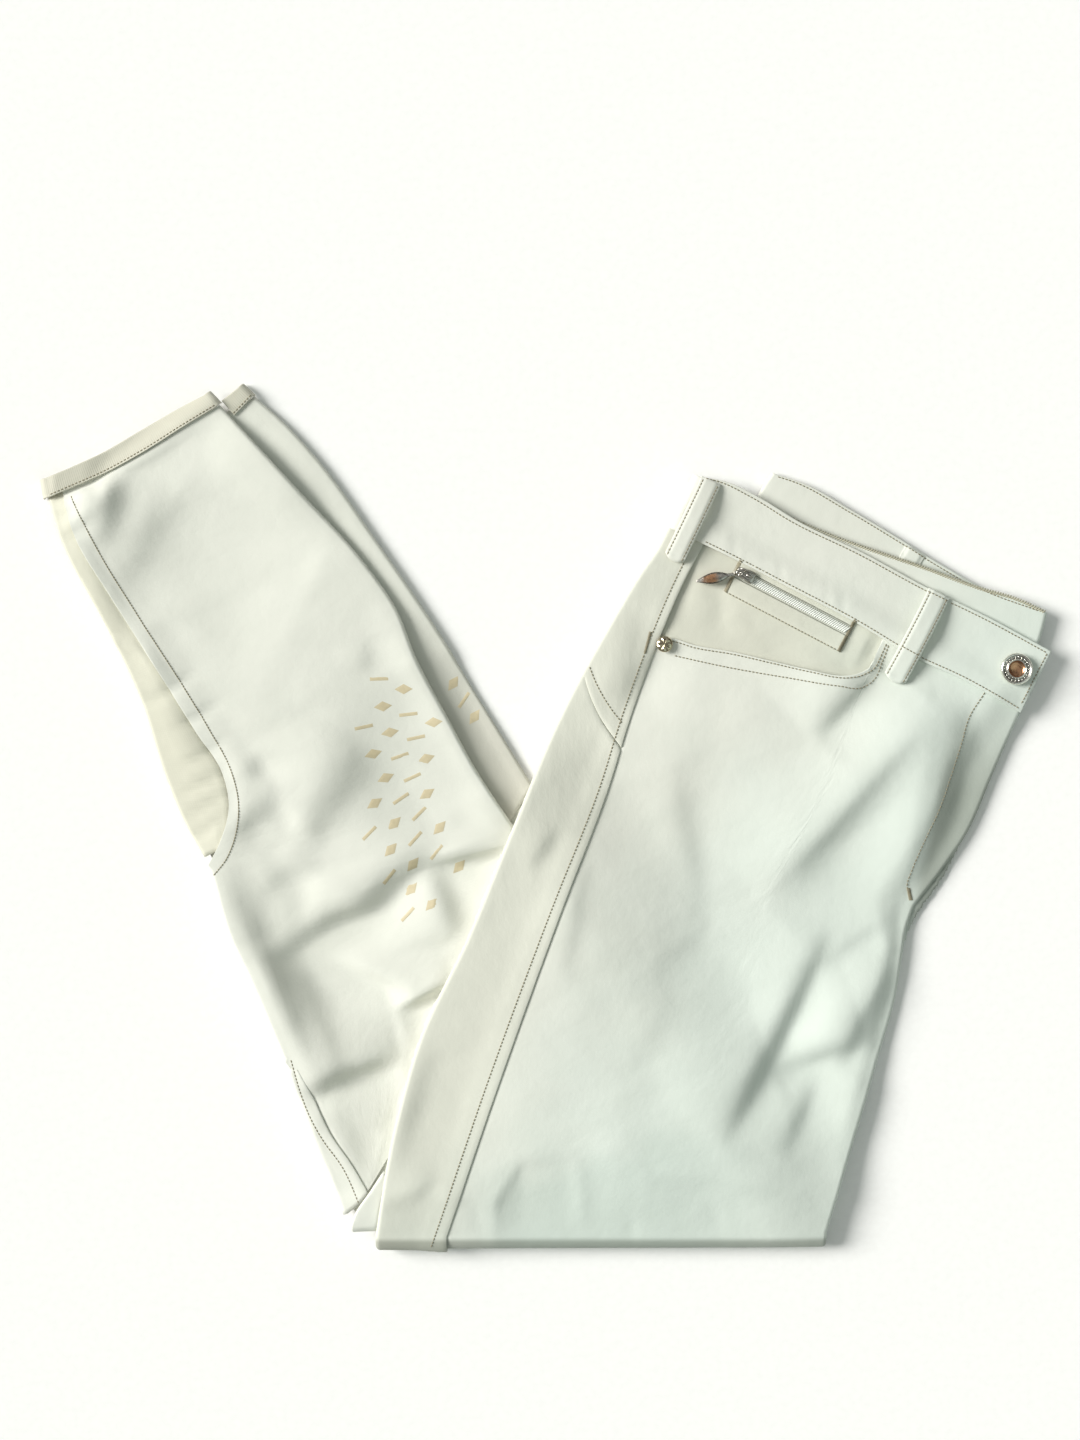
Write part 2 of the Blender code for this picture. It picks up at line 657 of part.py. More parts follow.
def plain_levels(rows, corner=None):
    """Levels from rows of height field, height above it, and insets at the left, right, top and bottom.

    Round a corner of the right side the inset grows."""

    def made(field, offset, left, right, top, bottom):
        def level(x, y):
            inset = right
            if corner:
                inset = right + CORNER_INSET * np.exp(-((x - corner[0]) ** 2 + (y - corner[1]) ** 2) / CELL**2)
            return left, inset, top, bottom, np.maximum(0, field(x, y) + offset)

        return level

    return [made(*row) for row in rows]


def right_shin_block():
    hem = Curve(((-262, 146), (-188, 228)), ((-188, 228), (-172, 242)))
    left = RIGHT_LEG_SIDE.part(RIGHT_LEG_SIDE.share_near((-262, 146)), RIGHT_LEG_SIDE.share_near((-118, -200)))
    left = Curve(left.points[::6], ((-118, -200), (-84, -231)))
    right = Curve(RIGHT_SHIN, ((-6, 18), (142, -228)))
    bottom = Curve(((-84, -231), (142, -228)))
    covered = Curve(LEFT_SHIN, ((-17, -5), (124, -229)))

    def under_left_leg(x, y):
        strip = RIGHT_SHIN_TOP - CLOTH - CORE_GAP
        return strip + 1.5 * smooth(-covered.distance(x, y), 14, 22)

    rows = (
        (floor_level, 0, 1.2, 3.8, 4, 0),
        (floor_level, 0.6, 0.5, 3.1, 3.5, 0),
        (floor_level, 1.6, 0.1, 2.7, 3, 0),
        (under_left_leg, 0, 0.4, 3.4, 4, 0),
    )
    return block("hidden_right_shin", hem, bottom, left, right, plain_levels(rows), shares(90, 16), shares(430, 19))


def left_shin_block():
    hem = Curve(LEFT_HEM_EDGE).shifted(-2.0)
    left = Curve(((-286, 193), (-282, 182)), LEFT_OUTLINE, LEFT_WRAP, LEFT_KNEE, ((-114, -224), (-104, -231)))
    right = Curve(((-190, 242), (-184, 234.5)), LEFT_SHIN, ((-17, -5), (124, -229)))
    bottom = Curve(((-104, -231), (124, -229)))

    def layer(share):
        def height(x, y):
            top = underside(left_shin_height, x, y)
            base = np.clip(top - 4.4, 0, RIGHT_SHIN_TOP - CLOTH)
            return base + share * (top - base)

        return height

    rows = (
        (layer(0), 0, 5.5, 5.5, 6, 0),
        (layer(0.4), 0, 4.6, 4.6, 5, 0),
        (layer(0.75), 0, 2.4, 2.4, 3, 0),
        (layer(1), 0, 3.9, 3.9, 5, 0),
    )
    levels = plain_levels(rows, corner=LEFT_SHIN[-1])
    return block("hidden_left_shin", hem, bottom, left, right, levels, shares(110, 15), shares(430, 17))


def corner_block():
    """Hidden layers under the left leg's knee corner."""
    left = Curve(CORNER_SIDE)
    right = Curve(((-70, -190), (-80, -232.8)))
    top = Curve(((-87.5, -192.5), (-70, -190)))
    bottom = Curve(((-111, -232.8), (-80, -232.8)))
    rows = (
        (floor_level, 0, 6.0, 0, 4, 8),
        (floor_level, 2, 5.0, 0, 4, 5),
        (floor_level, 9, 5.0, 0, 4, 3.2),
        (floor_level, CORNER_TOP - 4.5, 3.2, 0, 4, 2.3),
        (floor_level, CORNER_TOP - CLOTH - CORE_GAP, 4.4, 0, 5, 4.6),
    )
    return block("hidden_corner", top, bottom, left, right, plain_levels(rows), shares(25, 10), shares(42, 10))


def waist_block():
    """Hidden left front waistband under the parts of the waistband that show."""
    top = Curve(OUTER_BAND_TOP).shifted(-1.0)
    bottom = Curve(BAND_TOP).shifted(-13.0)
    bottom = bottom.part(bottom.share_near((112, 170)), 0.97)
    left = Curve((tuple(top.at(0.0)), tuple(bottom.at(0.0))))
    right = Curve((tuple(top.at(1.0)), tuple(bottom.at(1.0))))
    rows = (
        (floor_level, 0, 3.2, 3.6, 1.0, 0),
        (floor_level, 0.8, 2.6, 3.0, 0.3, 0),
        (floor_level, WAIST_SLAB_TOP, 3.2, 3.6, 1.0, 0),
    )
    return block("hidden_waist", top, bottom, left, right, plain_levels(rows), shares(170, 17), shares(40, 14))


def hidden_layers():
    """One rounded solid for all the layers that are folded away."""
    body = thigh_block()
    body.name = "hidden_layers"
    HELPERS.objects.unlink(body)
    PARTS.objects.link(body)
    for other in (right_shin_block(), left_shin_block(), corner_block(), waist_block()):
        other.hide_render = True
        other.display_type = "WIRE"
        join = body.modifiers.new(other.name, "BOOLEAN")
        join.operation = "UNION"
        join.solver = "EXACT"
        join.object = other
    return body


def right_thigh():
    """The right leg above the knee: front, back strip and yoke."""
    side = Curve(SIDE_SEAM)
    yoke_end = side.share_near(YOKE_SEAM[-1])
    rivet = side.share_near((65, 103))
    front_side = side.part(rivet, 1).shifted(-TUCK)
    top = Curve((tuple(front_side.at(0.0)), MOUTH[0]), MOUTH, MOUTH_END, FRONT_WAIST_SEAM)
    end = KNEE_LINE + KNEE_DEPTH
    front_side = front_side.part(0, front_side.share_near((-58, end)))
    edge = Curve(FLY_EDGE, INSEAM)
    edge = edge.part(0, edge.share_near((160, end)))
    bottom = Curve((tuple(front_side.at(1.0)), tuple(edge.at(1.0))))
    columns = edge_shares(bottom.length, TUCK + 2)
    cloth("right_front_leg", top, bottom, front_side, edge, thigh_height, "cloth", across=columns,
          down=shares(edge.length, 12), turn_right=SIDE_TURN, turn_end=KNEE)

    fold = Curve(BACK_FOLD)
    yoke_start = fold.share_near(YOKE_SEAM[0])
    lap = side.part(yoke_end, side.share_near((-58, end)))
    outer = fold.part(yoke_start, fold.share_near((-95, end)))
    top = Curve(YOKE_SEAM).shifted(TUCK)
    bottom = Curve((tuple(outer.at(1.0)), tuple(lap.at(1.0))))
    lap_columns = np.array([0, 0.3, 0.6, 0.78, 0.88, 1.0])
    cloth("right_back_thigh", top, bottom, outer, lap, thigh_height, "cloth", across=lap_columns,
          down=shares(outer.length, 12), turn_left=SIDE_TURN, turn_end=KNEE, lift=lapped(from_right=True))

    def yoke_lift(left_distance, right_distance, x, y):
        below = Curve(YOKE_SEAM).distance(x, y)
        over_thigh = LAP * (1 - smooth(below, TUCK + 0.8, TUCK + 0.8 + LAP_FALL))
        over_front = lapped(from_right=True)(left_distance, right_distance, x, y) * smooth(y, 128, 110)
        return over_thigh + over_front

    seam = WAIST.part(0, WAIST.share_near((91, 158))).shifted(TUCK - 1)
    cloth("right_back_yoke", seam, Curve(YOKE_SEAM), fold.part(0, yoke_start), side.part(0, yoke_end),
          thigh_height, "cloth", across=lap_columns, down=1 - edge_shares(85, TUCK + 2, 11)[::-1],
          turn_left=SIDE_TURN, lift=yoke_lift)


def hip_facing():
    """The hip piece that shows behind the pocket mouth."""
    side = Curve(SIDE_SEAM)
    left = side.part(0, side.share_near((63, 99))).shifted(-TUCK)
    top = Curve((tuple(left.at(0.0)), (109, 150), (133, 137.5), (174, 116), (201, 102)))
    low = Curve(MOUTH).shifted(-4.0)
    bottom = Curve((tuple(left.at(1.0)), tuple(low.at(0.12))), low.part(0.12, 1).points[::4])
    right = Curve((tuple(top.at(1.0)), (194, 90), (188, 81), tuple(bottom.at(1.0))))
    cloth("hip_facing", top, bottom, left, right, facing_height, "cloth")


def left_shin():
    """The left leg below the knee, with its calf insert, its hem band and the back leg's strip."""
    under_thigh = THIGH_EDGE.shifted(PRESSED)
    start = under_thigh.share_near((-17, -5))
    stop = under_thigh.share_near((-86, -192.5))
    hidden = under_thigh.part(start, stop)
    right = Curve(LEFT_SHIN, hidden.points[::4])
    tucked = Curve(LEFT_SEAM).shifted(lambda share: -TUCK * smooth(share, -0.2, 0.2))
    left = Curve(INSERT_SEAM, LEFT_WRAP, np.concatenate([[LEFT_WRAP[-1]], tucked.points[6::6]]))
    insert_end = left.share_near(INSERT_SEAM[-1])
    wrap_end = left.share_near(LEFT_WRAP[-1])
    shin_end = right.share_near(LEFT_SHIN[-1])

    def turn_left(share):
        begun = smooth(share, insert_end, insert_end + 0.01)
        ended = smooth(share, wrap_end, wrap_end - 0.01)
        return 12 + (SIDE_TURN - 12) * begun * ended

    def turn_right(share):
        return 12 + (SIDE_TURN - 12) * smooth(share, shin_end + 0.02, shin_end - 0.01)

    def lift(left_distance, right_distance, x, y):
        lap = LAP * (1 - smooth(left_distance, TUCK + 0.8, TUCK + 0.8 + LAP_FALL))
        return lap * smooth(y, -38, -24)

    hem = Curve(LEFT_HEM).shifted(TUCK - 1)
    top = hem.part(hem.share_near(INSERT_SEAM[0]), 1)
    bottom = Curve(((-99.5, -211.5), (-86, -192.5)))
    columns = edge_shares(110, TUCK + 5, 12)
    corners = [insert_end, insert_end + 0.01, wrap_end - 0.01, wrap_end, shin_end - 0.01, shin_end + 0.02]
    cloth("left_front_leg", top, bottom, left, right, left_shin_height, "cloth", across=columns,
          down=np.unique(np.concatenate([shares(left.length, 13), corners])), turn_left=turn_left,
          turn_right=turn_right, lift=lift)

    seam = Curve(INSERT_SEAM)
    seam = seam.part(0, seam.share_near((-184, -15))).shifted(TUCK)
    outline = Curve(LEFT_OUTLINE)
    outline = outline.part(0, outline.share_near((-192.5, -21.5)))
    top = hem.part(0, hem.share_near(INSERT_SEAM[0]) + 0.03)
    bottom = Curve((tuple(outline.at(1.0)), tuple(seam.at(1.0))))
    cloth("left_calf_insert", top, bottom, outline, seam, left_shin_height, "stretch_cloth",
          across=np.array([0, 0.35, 0.7, 1.0]), down=shares(outline.length, 12), turn_left=SIDE_TURN)


def left_back_strip():
    outline = Curve(LEFT_KNEE)
    outline = outline.part(outline.share_near((-145, -141)), 1)
    seam = Curve(LEFT_SEAM)
    seam = seam.part(seam.share_near((-139, -141)), 1)
    top = Curve((tuple(outline.at(0.0)), tuple(seam.at(0.0))))
    bottom = Curve(((-114, -224), (-106, -218), (-99.5, -211.5)))

    def lift(left_distance, right_distance, x, y):
        return lapped(from_right=True)(left_distance, right_distance, x, y) * smooth(y, -224, -212)

    cloth("left_back_calf", top, bottom, outline, seam, left_shin_height, "cloth",
          across=np.array([0, 0.4, 0.7, 1.0]), down=shares(outline.length, 12), turn_left=SIDE_TURN, lift=lift)


def left_knee_corner():
    side = Curve(CORNER_SIDE)
    inner = THIGH_EDGE.shifted(PRESSED - 0.6)
    inner = inner.part(inner.share_near((-86, -195)), inner.share_near((-93.5, CORNER_LINE + CORNER_DEPTH)))
    side = side.part(side.share_near((-91, -198)), side.share_near((-109.5, CORNER_LINE + CORNER_DEPTH)))
    top = Curve((tuple(side.at(0.0)), tuple(inner.at(0.0))))
    bottom = Curve((tuple(side.at(1.0)), tuple(inner.at(1.0))))
    cloth("left_back_thigh", top, bottom, side, inner, corner_height, "cloth", across=np.array([0, 0.5, 1.0]),
          down=shares(side.length, 8), turn_left=CORNER_TURN, roll=CORNER_ROLL,
          turn_end=Turn(CORNER_DEPTH, (30, 60, 90)))


def hem_bands():
    """Elastic bands, lapped over the ends of the legs."""
    top = Curve(LEFT_HEM_EDGE)
    bottom = Curve(LEFT_HEM)
    left = Curve((LEFT_HEM_EDGE[0], LEFT_HEM[0]))
    right = Curve((LEFT_HEM_EDGE[-1], LEFT_HEM[-1]))

    def on_leg(left_distance, right_distance, x, y):
        over_insert_seam = smooth(x, -284, -277) * smooth(x, -246, -262)
        return HEM_LAP + LAP * over_insert_seam

    cloth("left_hem_band", top, bottom, left, right, left_shin_height, "elastic", down=shares(10, 4),
          across=edge_shares(110, 32, 10, 6), turn_left=HEM_TURN, turn_right=HEM_TURN - 15, lift=on_leg)
    top = Curve(RIGHT_HEM_EDGE)
    bottom = Curve(RIGHT_HEM)
    left = Curve((RIGHT_HEM_EDGE[0], RIGHT_HEM[0]))
    right = Curve((RIGHT_HEM_EDGE[-1], RIGHT_HEM[-1]))
    cloth("right_hem_band", top, bottom, left, right, right_shin_height, "elastic", across=shares(16, 5),
          down=shares(10, 4), turn_right=HEM_TURN, lift=HEM_LAP)


def right_shin():
    """The strip of the right back leg that shows beside the left leg."""
    edge = Curve(RIGHT_SHIN)
    under_thigh = THIGH_EDGE.shifted(PRESSED)
    inner = Curve(LEFT_SHIN).shifted(lambda share: -TUCK + 2 * smooth(share, 0.06, 0.01))
    inner = inner.part(inner.share_near((-182, 230)), inner.share_near((-19, -3)))
    hem = Curve(((-184, 219.5), (-177, 227.5), (-165.5, 239.5))).shifted(TUCK - 1)
    top = hem.part(hem.share_near(inner.at(0.0)), 1)
    start, stop = under_thigh.share_near((-5, 18)), under_thigh.share_near((-18, -5))
    bottom = Curve(under_thigh.part(start, stop).points[::-3])
    cloth("right_back_calf", top, bottom, inner, edge, right_shin_height, "cloth",
          across=np.array([0, 0.25, 0.5, 0.75, 1.0]), down=shares(edge.length, 12), turn_right=SIDE_TURN)


def waistband():
    """The band's right front, with the right back and left back parts beyond it."""
    seam = Curve(WAIST_SEAM).shifted(-2.0)
    top = Curve(BAND_TOP)
    left = Curve((BAND_TOP[0], tuple(seam.at(0.0))))
    right = Curve((BAND_TOP[-1], tuple(seam.at(1.0))))
    cloth("waistband_right_front", top, seam, left, right, front_band_height, "cloth", thickness=BAND_CLOTH,
          across=shares(top.length, 12), down=shares(33, 5.5), turn_left=BAND_TURN, roll=BAND_ROLL)

    edge = Curve(INNER_BAND_TOP)
    under = Curve(BAND_TOP).shifted(-4.0)
    under = under.part(under.share_near((131, 172)), under.share_near((279, 97)))
    left = Curve((tuple(edge.at(0.0)), tuple(under.at(0.0))))
    right = Curve((tuple(edge.at(1.0)), (282, 107), tuple(under.at(1.0))))
    cloth("waistband_right_back", edge, under, left, right, inner_band_height, "cloth", thickness=CLOTH,
          across=shares(edge.length, 14), down=shares(14, 6), turn_right=SIDE_TURN - 40)

    edge = Curve(OUTER_BAND_TOP)
    under = Curve(BAND_TOP).shifted(-3.0)
    corner = under.share_near((118, 178))
    meet = under.share_near((136, 169))
    under = Curve(under.part(corner, meet).points[::3], Curve(INNER_BAND_TOP).shifted(-4.0).points[::6])
    left = Curve((tuple(edge.at(0.0)), (123, 188), tuple(under.at(0.0))))
    right = Curve((tuple(edge.at(1.0)), tuple(under.at(1.0))))
    cloth("waistband_left_back", edge, under, left, right, outer_band_height, "cloth", thickness=BAND_CLOTH - 0.4,
          across=shares(edge.length, 14), down=shares(14, 6), turn_left=SIDE_TURN - 50)


def belt_loop(name, loop, ends, thickness=LOOP_CLOTH):
    """A strip that arches from one end to the other."""
    way = np.array([loop.x1 - loop.x0, loop.y1 - loop.y0])
    length = np.hypot(*way)
    way = way / length
    side = np.array([way[1], -way[0]]) * loop.half_width
    corner = np.array([loop.x0, loop.y0])
    end = np.array([loop.x1, loop.y1])
    if side[0] > 0:
        side = -side
    left = Curve((tuple(corner + side), tuple(end + side)))
    right = Curve((tuple(corner - side), tuple(end - side)))
    top = Curve((tuple(left.at(0.0)), tuple(right.at(0.0))))
    bottom = Curve((tuple(left.at(1.0)), tuple(right.at(1.0))))

    def height(x, y):
        share = ((x - corner[0]) * way[0] + (y - corner[1]) * way[1]) / length
        return ends + loop.arch * np.sin(math.pi * np.clip(share, 0, 1)) ** 0.7

    cloth(name, top, bottom, left, right, height, "cloth", thickness=thickness, across=shares(13, 4),
          down=shares(length, 5))


def zip_point(along, across):
    """Plan point in the zip's own directions, ACROSS being towards the waist."""
    way = np.array(ZIP_ALONG)
    up = np.array([-way[1], way[0]])
    return tuple(np.array(ZIP_START) + along * way + across * up)


def zip_strip(name, low, high, level, thickness, finish, start=ZIP_OPENING[0], end=ZIP_OPENING[1]):
    top = Curve((zip_point(start, high), zip_point(end, high)))
    bottom = Curve((zip_point(start, low), zip_point(end, low)))
    left = Curve((zip_point(start, high), zip_point(start, low)))
    right = Curve((zip_point(end, high), zip_point(end, low)))
    cloth(name, top, bottom, left, right, lambda x, y: facing_height(x, y) + level, finish, thickness=thickness,
          across=shares(end - start, 8), down=shares(high - low, 4, 1))


def pocket_zip():
    zip_strip("zip_tape", -TAPE_HALF, TAPE_HALF, TAPE_LEVEL, TAPE_CLOTH, "tape")
    zip_strip("zip_welt_upper", TAPE_HALF + WELT_GAP, UPPER_WELT_EDGE, WELT_LEVEL, CLOTH, "cloth")
    zip_strip("zip_welt_lower", -LOWER_WELT_EDGE, -TAPE_HALF - WELT_GAP, WELT_LEVEL, CLOTH, "cloth")


def bevelled(made, width, segments=2):
    rounding = made.modifiers.new("rounding", "BEVEL")
    rounding.width = width * MM
    rounding.segments = segments
    rounding.limit_method = "ANGLE"
    return made


def prism(name, outline, low, high, finish, collection):
    """A flat outline drawn up from LOW to HIGH."""
    count = len(outline)
    points = [(x, y, low) for x, y in outline] + [(x, y, high) for x, y in outline]
    faces = [tuple(range(count - 1, -1, -1)), tuple(range(count, 2 * count))]
    for spot in range(count):
        following = (spot + 1) % count
        faces.append((spot, following, count + following, count + spot))
    return new_object(name, points, faces, finish, collection, smooth_shaded=False)


def place(made, spot, heading, tilt=0.0):
    """Sets an object at a point in millimetres, turned about +Z and tipped about its own Y."""
    made.location = [coordinate * MM for coordinate in spot]
    made.rotation_mode = "XYZ"
    made.rotation_euler = (0, tilt, heading)
    return made


def bail_spot():
    """The middle of the bail's foot on the slider."""
    x, y = zip_point(BAIL_SHARE, BAIL_OFFSET)
    base = float(facing_height(np.array(x), np.array(y))) + WELT_LEVEL + SLIDER_CLEAR
    return x, y, base


def zip_slider():
    """The slider's body, wide at its nose, with the bail that holds the pull tab."""
    x, y, base = bail_spot()
    heading = math.atan2(ZIP_ALONG[1], ZIP_ALONG[0])
    half = SLIDER_WIDTH / 2
    nose = SLIDER_NOSE / 2
    back, front = -SLIDER_LENGTH * 0.3, SLIDER_LENGTH * 0.7
    outline = [(back, -nose), (front - 3, -half), (front, -half), (front, half), (front - 3, half), (back, nose)]
    body = prism("zip_slider", outline, 0, SLIDER_HEIGHT, "nickel", PARTS)
    bevelled(body, 0.5)
    arch = bail_arch()
    join = body.modifiers.new("bail", "BOOLEAN")
    join.operation = "UNION"
    join.solver = "EXACT"
    join.object = arch
    place(body, (x, y, base), heading)
    arch.parent = body


def bail_arch():
    """A bridge over the pull's end bar, turned with the pull."""
    reach = BAIL_INSIDE / 2 + BAIL_WIRE
    inside = BAIL_INSIDE / 2
    rise_inside = SLIDER_HEIGHT + BAIL_HEIGHT
    outline = [(-reach, SLIDER_HEIGHT - 0.5), (-reach, rise_inside), (-reach + 0.6, rise_inside + BAIL_WIRE),
               (reach - 0.6, rise_inside + BAIL_WIRE), (reach, rise_inside), (reach, SLIDER_HEIGHT - 0.5),
               (inside, SLIDER_HEIGHT - 0.5), (inside, rise_inside - 0.4), (inside - 0.4, rise_inside),
               (-inside + 0.4, rise_inside), (-inside, rise_inside - 0.4), (-inside, SLIDER_HEIGHT - 0.5)]
    count = len(outline)
    half = BAIL_WIDTH / 2
    points = [(x, -half, z) for x, z in outline] + [(x, half, z) for x, z in outline]
    faces = [tuple(range(count)), tuple(range(2 * count - 1, count - 1, -1))]
    for spot in range(count):
        following = (spot + 1) % count
        faces.append((following, spot, count + spot, count + following))
    arch = new_object("zip_bail", points, faces, "nickel", HELPERS, smooth_shaded=False)
    heading = math.atan2(ZIP_ALONG[1], ZIP_ALONG[0])
    arch.rotation_euler = (0, 0, PULL_HEADING - heading)
    arch.hide_render = True
    arch.display_type = "WIRE"
    return arch


def zip_pull():
    """A leaf-shaped tab with a loop at its end, whose bar runs under the bail."""
    x, y, base = bail_spot()
    outer = pull_outline()
    tab = prism("zip_pull", outer, -PULL_PLATE / 2, PULL_PLATE / 2, "nickel", PARTS)
    hole_half = PULL_LOOP_HALF - 2 * PULL_WIRE + 0.35
    hole = [(PULL_WIRE, -hole_half), (PULL_LOOP_LENGTH - 1.2, -hole_half), (PULL_LOOP_LENGTH - 0.6, 0),
            (PULL_LOOP_LENGTH - 1.2, hole_half), (PULL_WIRE, hole_half)]
    cutter = prism("pull_hole", hole, -PULL_PLATE, PULL_PLATE, "nickel", HELPERS)
    cutter.hide_render = True
    cutter.display_type = "WIRE"
    cut = tab.modifiers.new("loop", "BOOLEAN")
    cut.operation = "DIFFERENCE"
    cut.solver = "EXACT"
    cut.object = cutter
    bar = base + SLIDER_HEIGHT + 0.6 * BAIL_HEIGHT
    place(tab, (x, y, bar), PULL_HEADING, PULL_TILT)
    cutter.parent = tab


def pull_outline():
    """Outline of the loop, the neck and the leaf, from the bar outwards along +X."""
    half = PULL_LOOP_HALF
    upper = [(-PULL_WIRE, half - 0.3), (-PULL_WIRE + 0.3, half), (PULL_LOOP_LENGTH - 1.4, half),
             (PULL_LOOP_LENGTH + 0.4, PULL_NECK_HALF * 0.7), (PULL_NECK, PULL_NECK_HALF)]
    steps = 9
    for step in range(1, steps):
        share = step / steps
        width = PULL_HALF_WIDTH * math.sin(math.pi * (0.16 + 0.84 * share) ** 1.15)
        upper.append((PULL_NECK + (PULL_LENGTH - PULL_NECK) * share, max(width, 0.9)))
    lower = [(x, -y) for x, y in reversed(upper)]
    return lower + upper


def turned(name, profile, centre, base, finish, shank=0.0):
    """A round piece from its profile of radius and height, with a shank down from its base."""
    points = [(0.0, -shank)] if shank else [(0.0, 0.0)]
    points += [(RIVET_SHANK, -shank), (RIVET_SHANK, 0.0)] if shank else []
    points += list(profile)
    mesh = bpy.data.meshes.new(name)
    mesh.from_pydata([(x * MM, 0, z * MM) for x, z in points], [(i, i + 1) for i in range(len(points) - 1)], [])
    mesh.materials.append(material(finish))
    made = bpy.data.objects.new(name, mesh)
    PARTS.objects.link(made)
    screw = made.modifiers.new("turning", "SCREW")
    screw.steps = ROUND_STEPS
    screw.render_steps = ROUND_STEPS
    screw.use_merge_vertices = True
    screw.merge_threshold = 1e-5
    screw.use_normal_calculate = True
    made.location = (centre[0] * MM, centre[1] * MM, base * MM)
    return made


def highest(height, centre, radius):
    """The highest point of a surface under a round piece."""
    angles = np.linspace(0, 2 * math.pi, ROUND_STEPS)
    return float(height(centre[0] + radius * np.cos(angles), centre[1] + radius * np.sin(angles)).max())


def fasteners():
    base = highest(thigh_height, RIVET_CENTRE, RIVET_SHANK) + RIVET_LIFT
    turned("pocket_rivet", RIVET_PROFILE, RIVET_CENTRE, base, "nickel", shank=RIVET_LIFT - 0.4)
    base = highest(front_band_height, BUTTON_CENTRE, BUTTON_PROFILE[0][0]) + BUTTON_LIFT
    turned("waist_button", BUTTON_PROFILE, BUTTON_CENTRE, base, "nickel")


for leftover in list(bpy.data.objects):
    bpy.data.objects.remove(leftover)
PARTS = bpy.data.collections.new("riding_breeches")
HELPERS = bpy.data.collections.new("helpers")
bpy.context.scene.collection.children.link(PARTS)
bpy.context.scene.collection.children.link(HELPERS)

hidden_layers()
right_thigh()
hip_facing()
left_shin()
left_back_strip()
left_knee_corner()
right_shin()
hem_bands()
waistband()
belt_loop("belt_loop_side", SIDE_LOOP, LOOP_END)
belt_loop("belt_loop_front", FRONT_LOOP, LOOP_END)
belt_loop("belt_loop_back", BACK_LOOP, BACK_LOOP_TOP, thickness=0.9)
pocket_zip()
zip_slider()
zip_pull()
fasteners()
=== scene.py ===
"""Looks of the folded riding breeches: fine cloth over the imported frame, with sewing, zip, metal and print.

Lengths are in millimetres in the frame's axes, and in metres in the finishes, the cuts and the studio.
Panels, stitches and print lie on the same height fields.
"""
import math
from collections import namedtuple

import bpy
import numpy as np
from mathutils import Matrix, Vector
from mathutils.bvhtree import BVHTree

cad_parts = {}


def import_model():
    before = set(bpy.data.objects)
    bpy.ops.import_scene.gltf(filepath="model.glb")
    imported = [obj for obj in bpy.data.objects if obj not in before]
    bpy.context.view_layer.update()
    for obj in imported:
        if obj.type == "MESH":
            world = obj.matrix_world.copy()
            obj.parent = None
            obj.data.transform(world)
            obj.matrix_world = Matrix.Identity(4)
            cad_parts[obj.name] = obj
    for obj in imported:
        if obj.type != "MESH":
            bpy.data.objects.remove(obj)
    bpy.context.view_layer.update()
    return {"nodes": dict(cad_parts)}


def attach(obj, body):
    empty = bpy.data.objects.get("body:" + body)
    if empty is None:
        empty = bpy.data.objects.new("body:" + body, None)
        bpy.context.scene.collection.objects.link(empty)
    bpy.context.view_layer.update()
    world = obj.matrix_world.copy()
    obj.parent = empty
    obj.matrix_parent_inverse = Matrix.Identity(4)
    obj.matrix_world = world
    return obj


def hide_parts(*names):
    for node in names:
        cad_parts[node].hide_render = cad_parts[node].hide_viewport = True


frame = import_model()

BODY = "breeches"
PULL_BODY = "zip_pull_tab"
MM = 0.001

# Thickness of the cloth, and room between two layers at a seam
CLOTH = 1.2
BAND_CLOTH = 2.0
SEAM_GAP = 0.5
# Lift of a piece that lies on its neighbour
LAP = CLOTH + SEAM_GAP
HEM_LAP = LAP + 0.2
# Reach of a panel under its neighbour
TUCK = 3.0
# Radius of a pressed garment fold
ROLL = 2.4
BAND_ROLL = 4.9
LEG_THICK = 2 * ROLL
# Reach of the lower legs past the edge of the thigh over them
PRESSED = 1.5

# Heights of the outer faces above the surface that the breeches lie on
RIGHT_SHIN_TOP = LEG_THICK
LEFT_SHIN_TOP = 9.9
LEFT_SHIN_ALONE = LEG_THICK + 0.3
THIGH_TOP = 10.2
THIGH_RISE = 10.3
CORNER_TOP = 15.0
FACING_DROP = 1.9

# Fold at the knee
KNEE_LINE = -243.0
KNEE_DEPTH = 9.0
CORNER_LINE = -232.8
CORNER_DEPTH = 4.5
CORNER_ROLL = 1.6

# Walls round a garment fold turn this far, in degrees
SIDE_TURN = 150.0
CORNER_TURN = 92.0
HEM_TURN = 115.0
BAND_TURN = 120.0

# The left leg's outer face doesn't sink below this height
LOWEST = 2.2
# Room left between the floor and an edge that turns under, and the least radius of such an edge
FLOOR_ROOM = 0.25
LEAST_ROLL = 0.3
# Cells of the cloth's grids, steps round a garment fold, and the angles of the fold at the knee, in degrees
CELL = 3.0
FINE_CELL = 0.9
BAND_CELL = 1.2
SIDE_STEPS = 9
KNEE_TURNS = tuple(range(10, 141, 10))
CORNER_TURNS = tuple(range(10, 91, 10))
# The hidden layers: size of their cells in metres, and their distance under the cloth's outer face
CORE_VOXEL = 0.0018
CORE_UNDER = 1.6

# A ridge (height above 0) or a trough along a line, with its widths to the left and to the right of the line
Fold = namedtuple("Fold", "points left right height power")
# A slope along a line: high on its left and low on its right, or the other way with a height below 0
Crease = namedtuple("Crease", "points left right height")

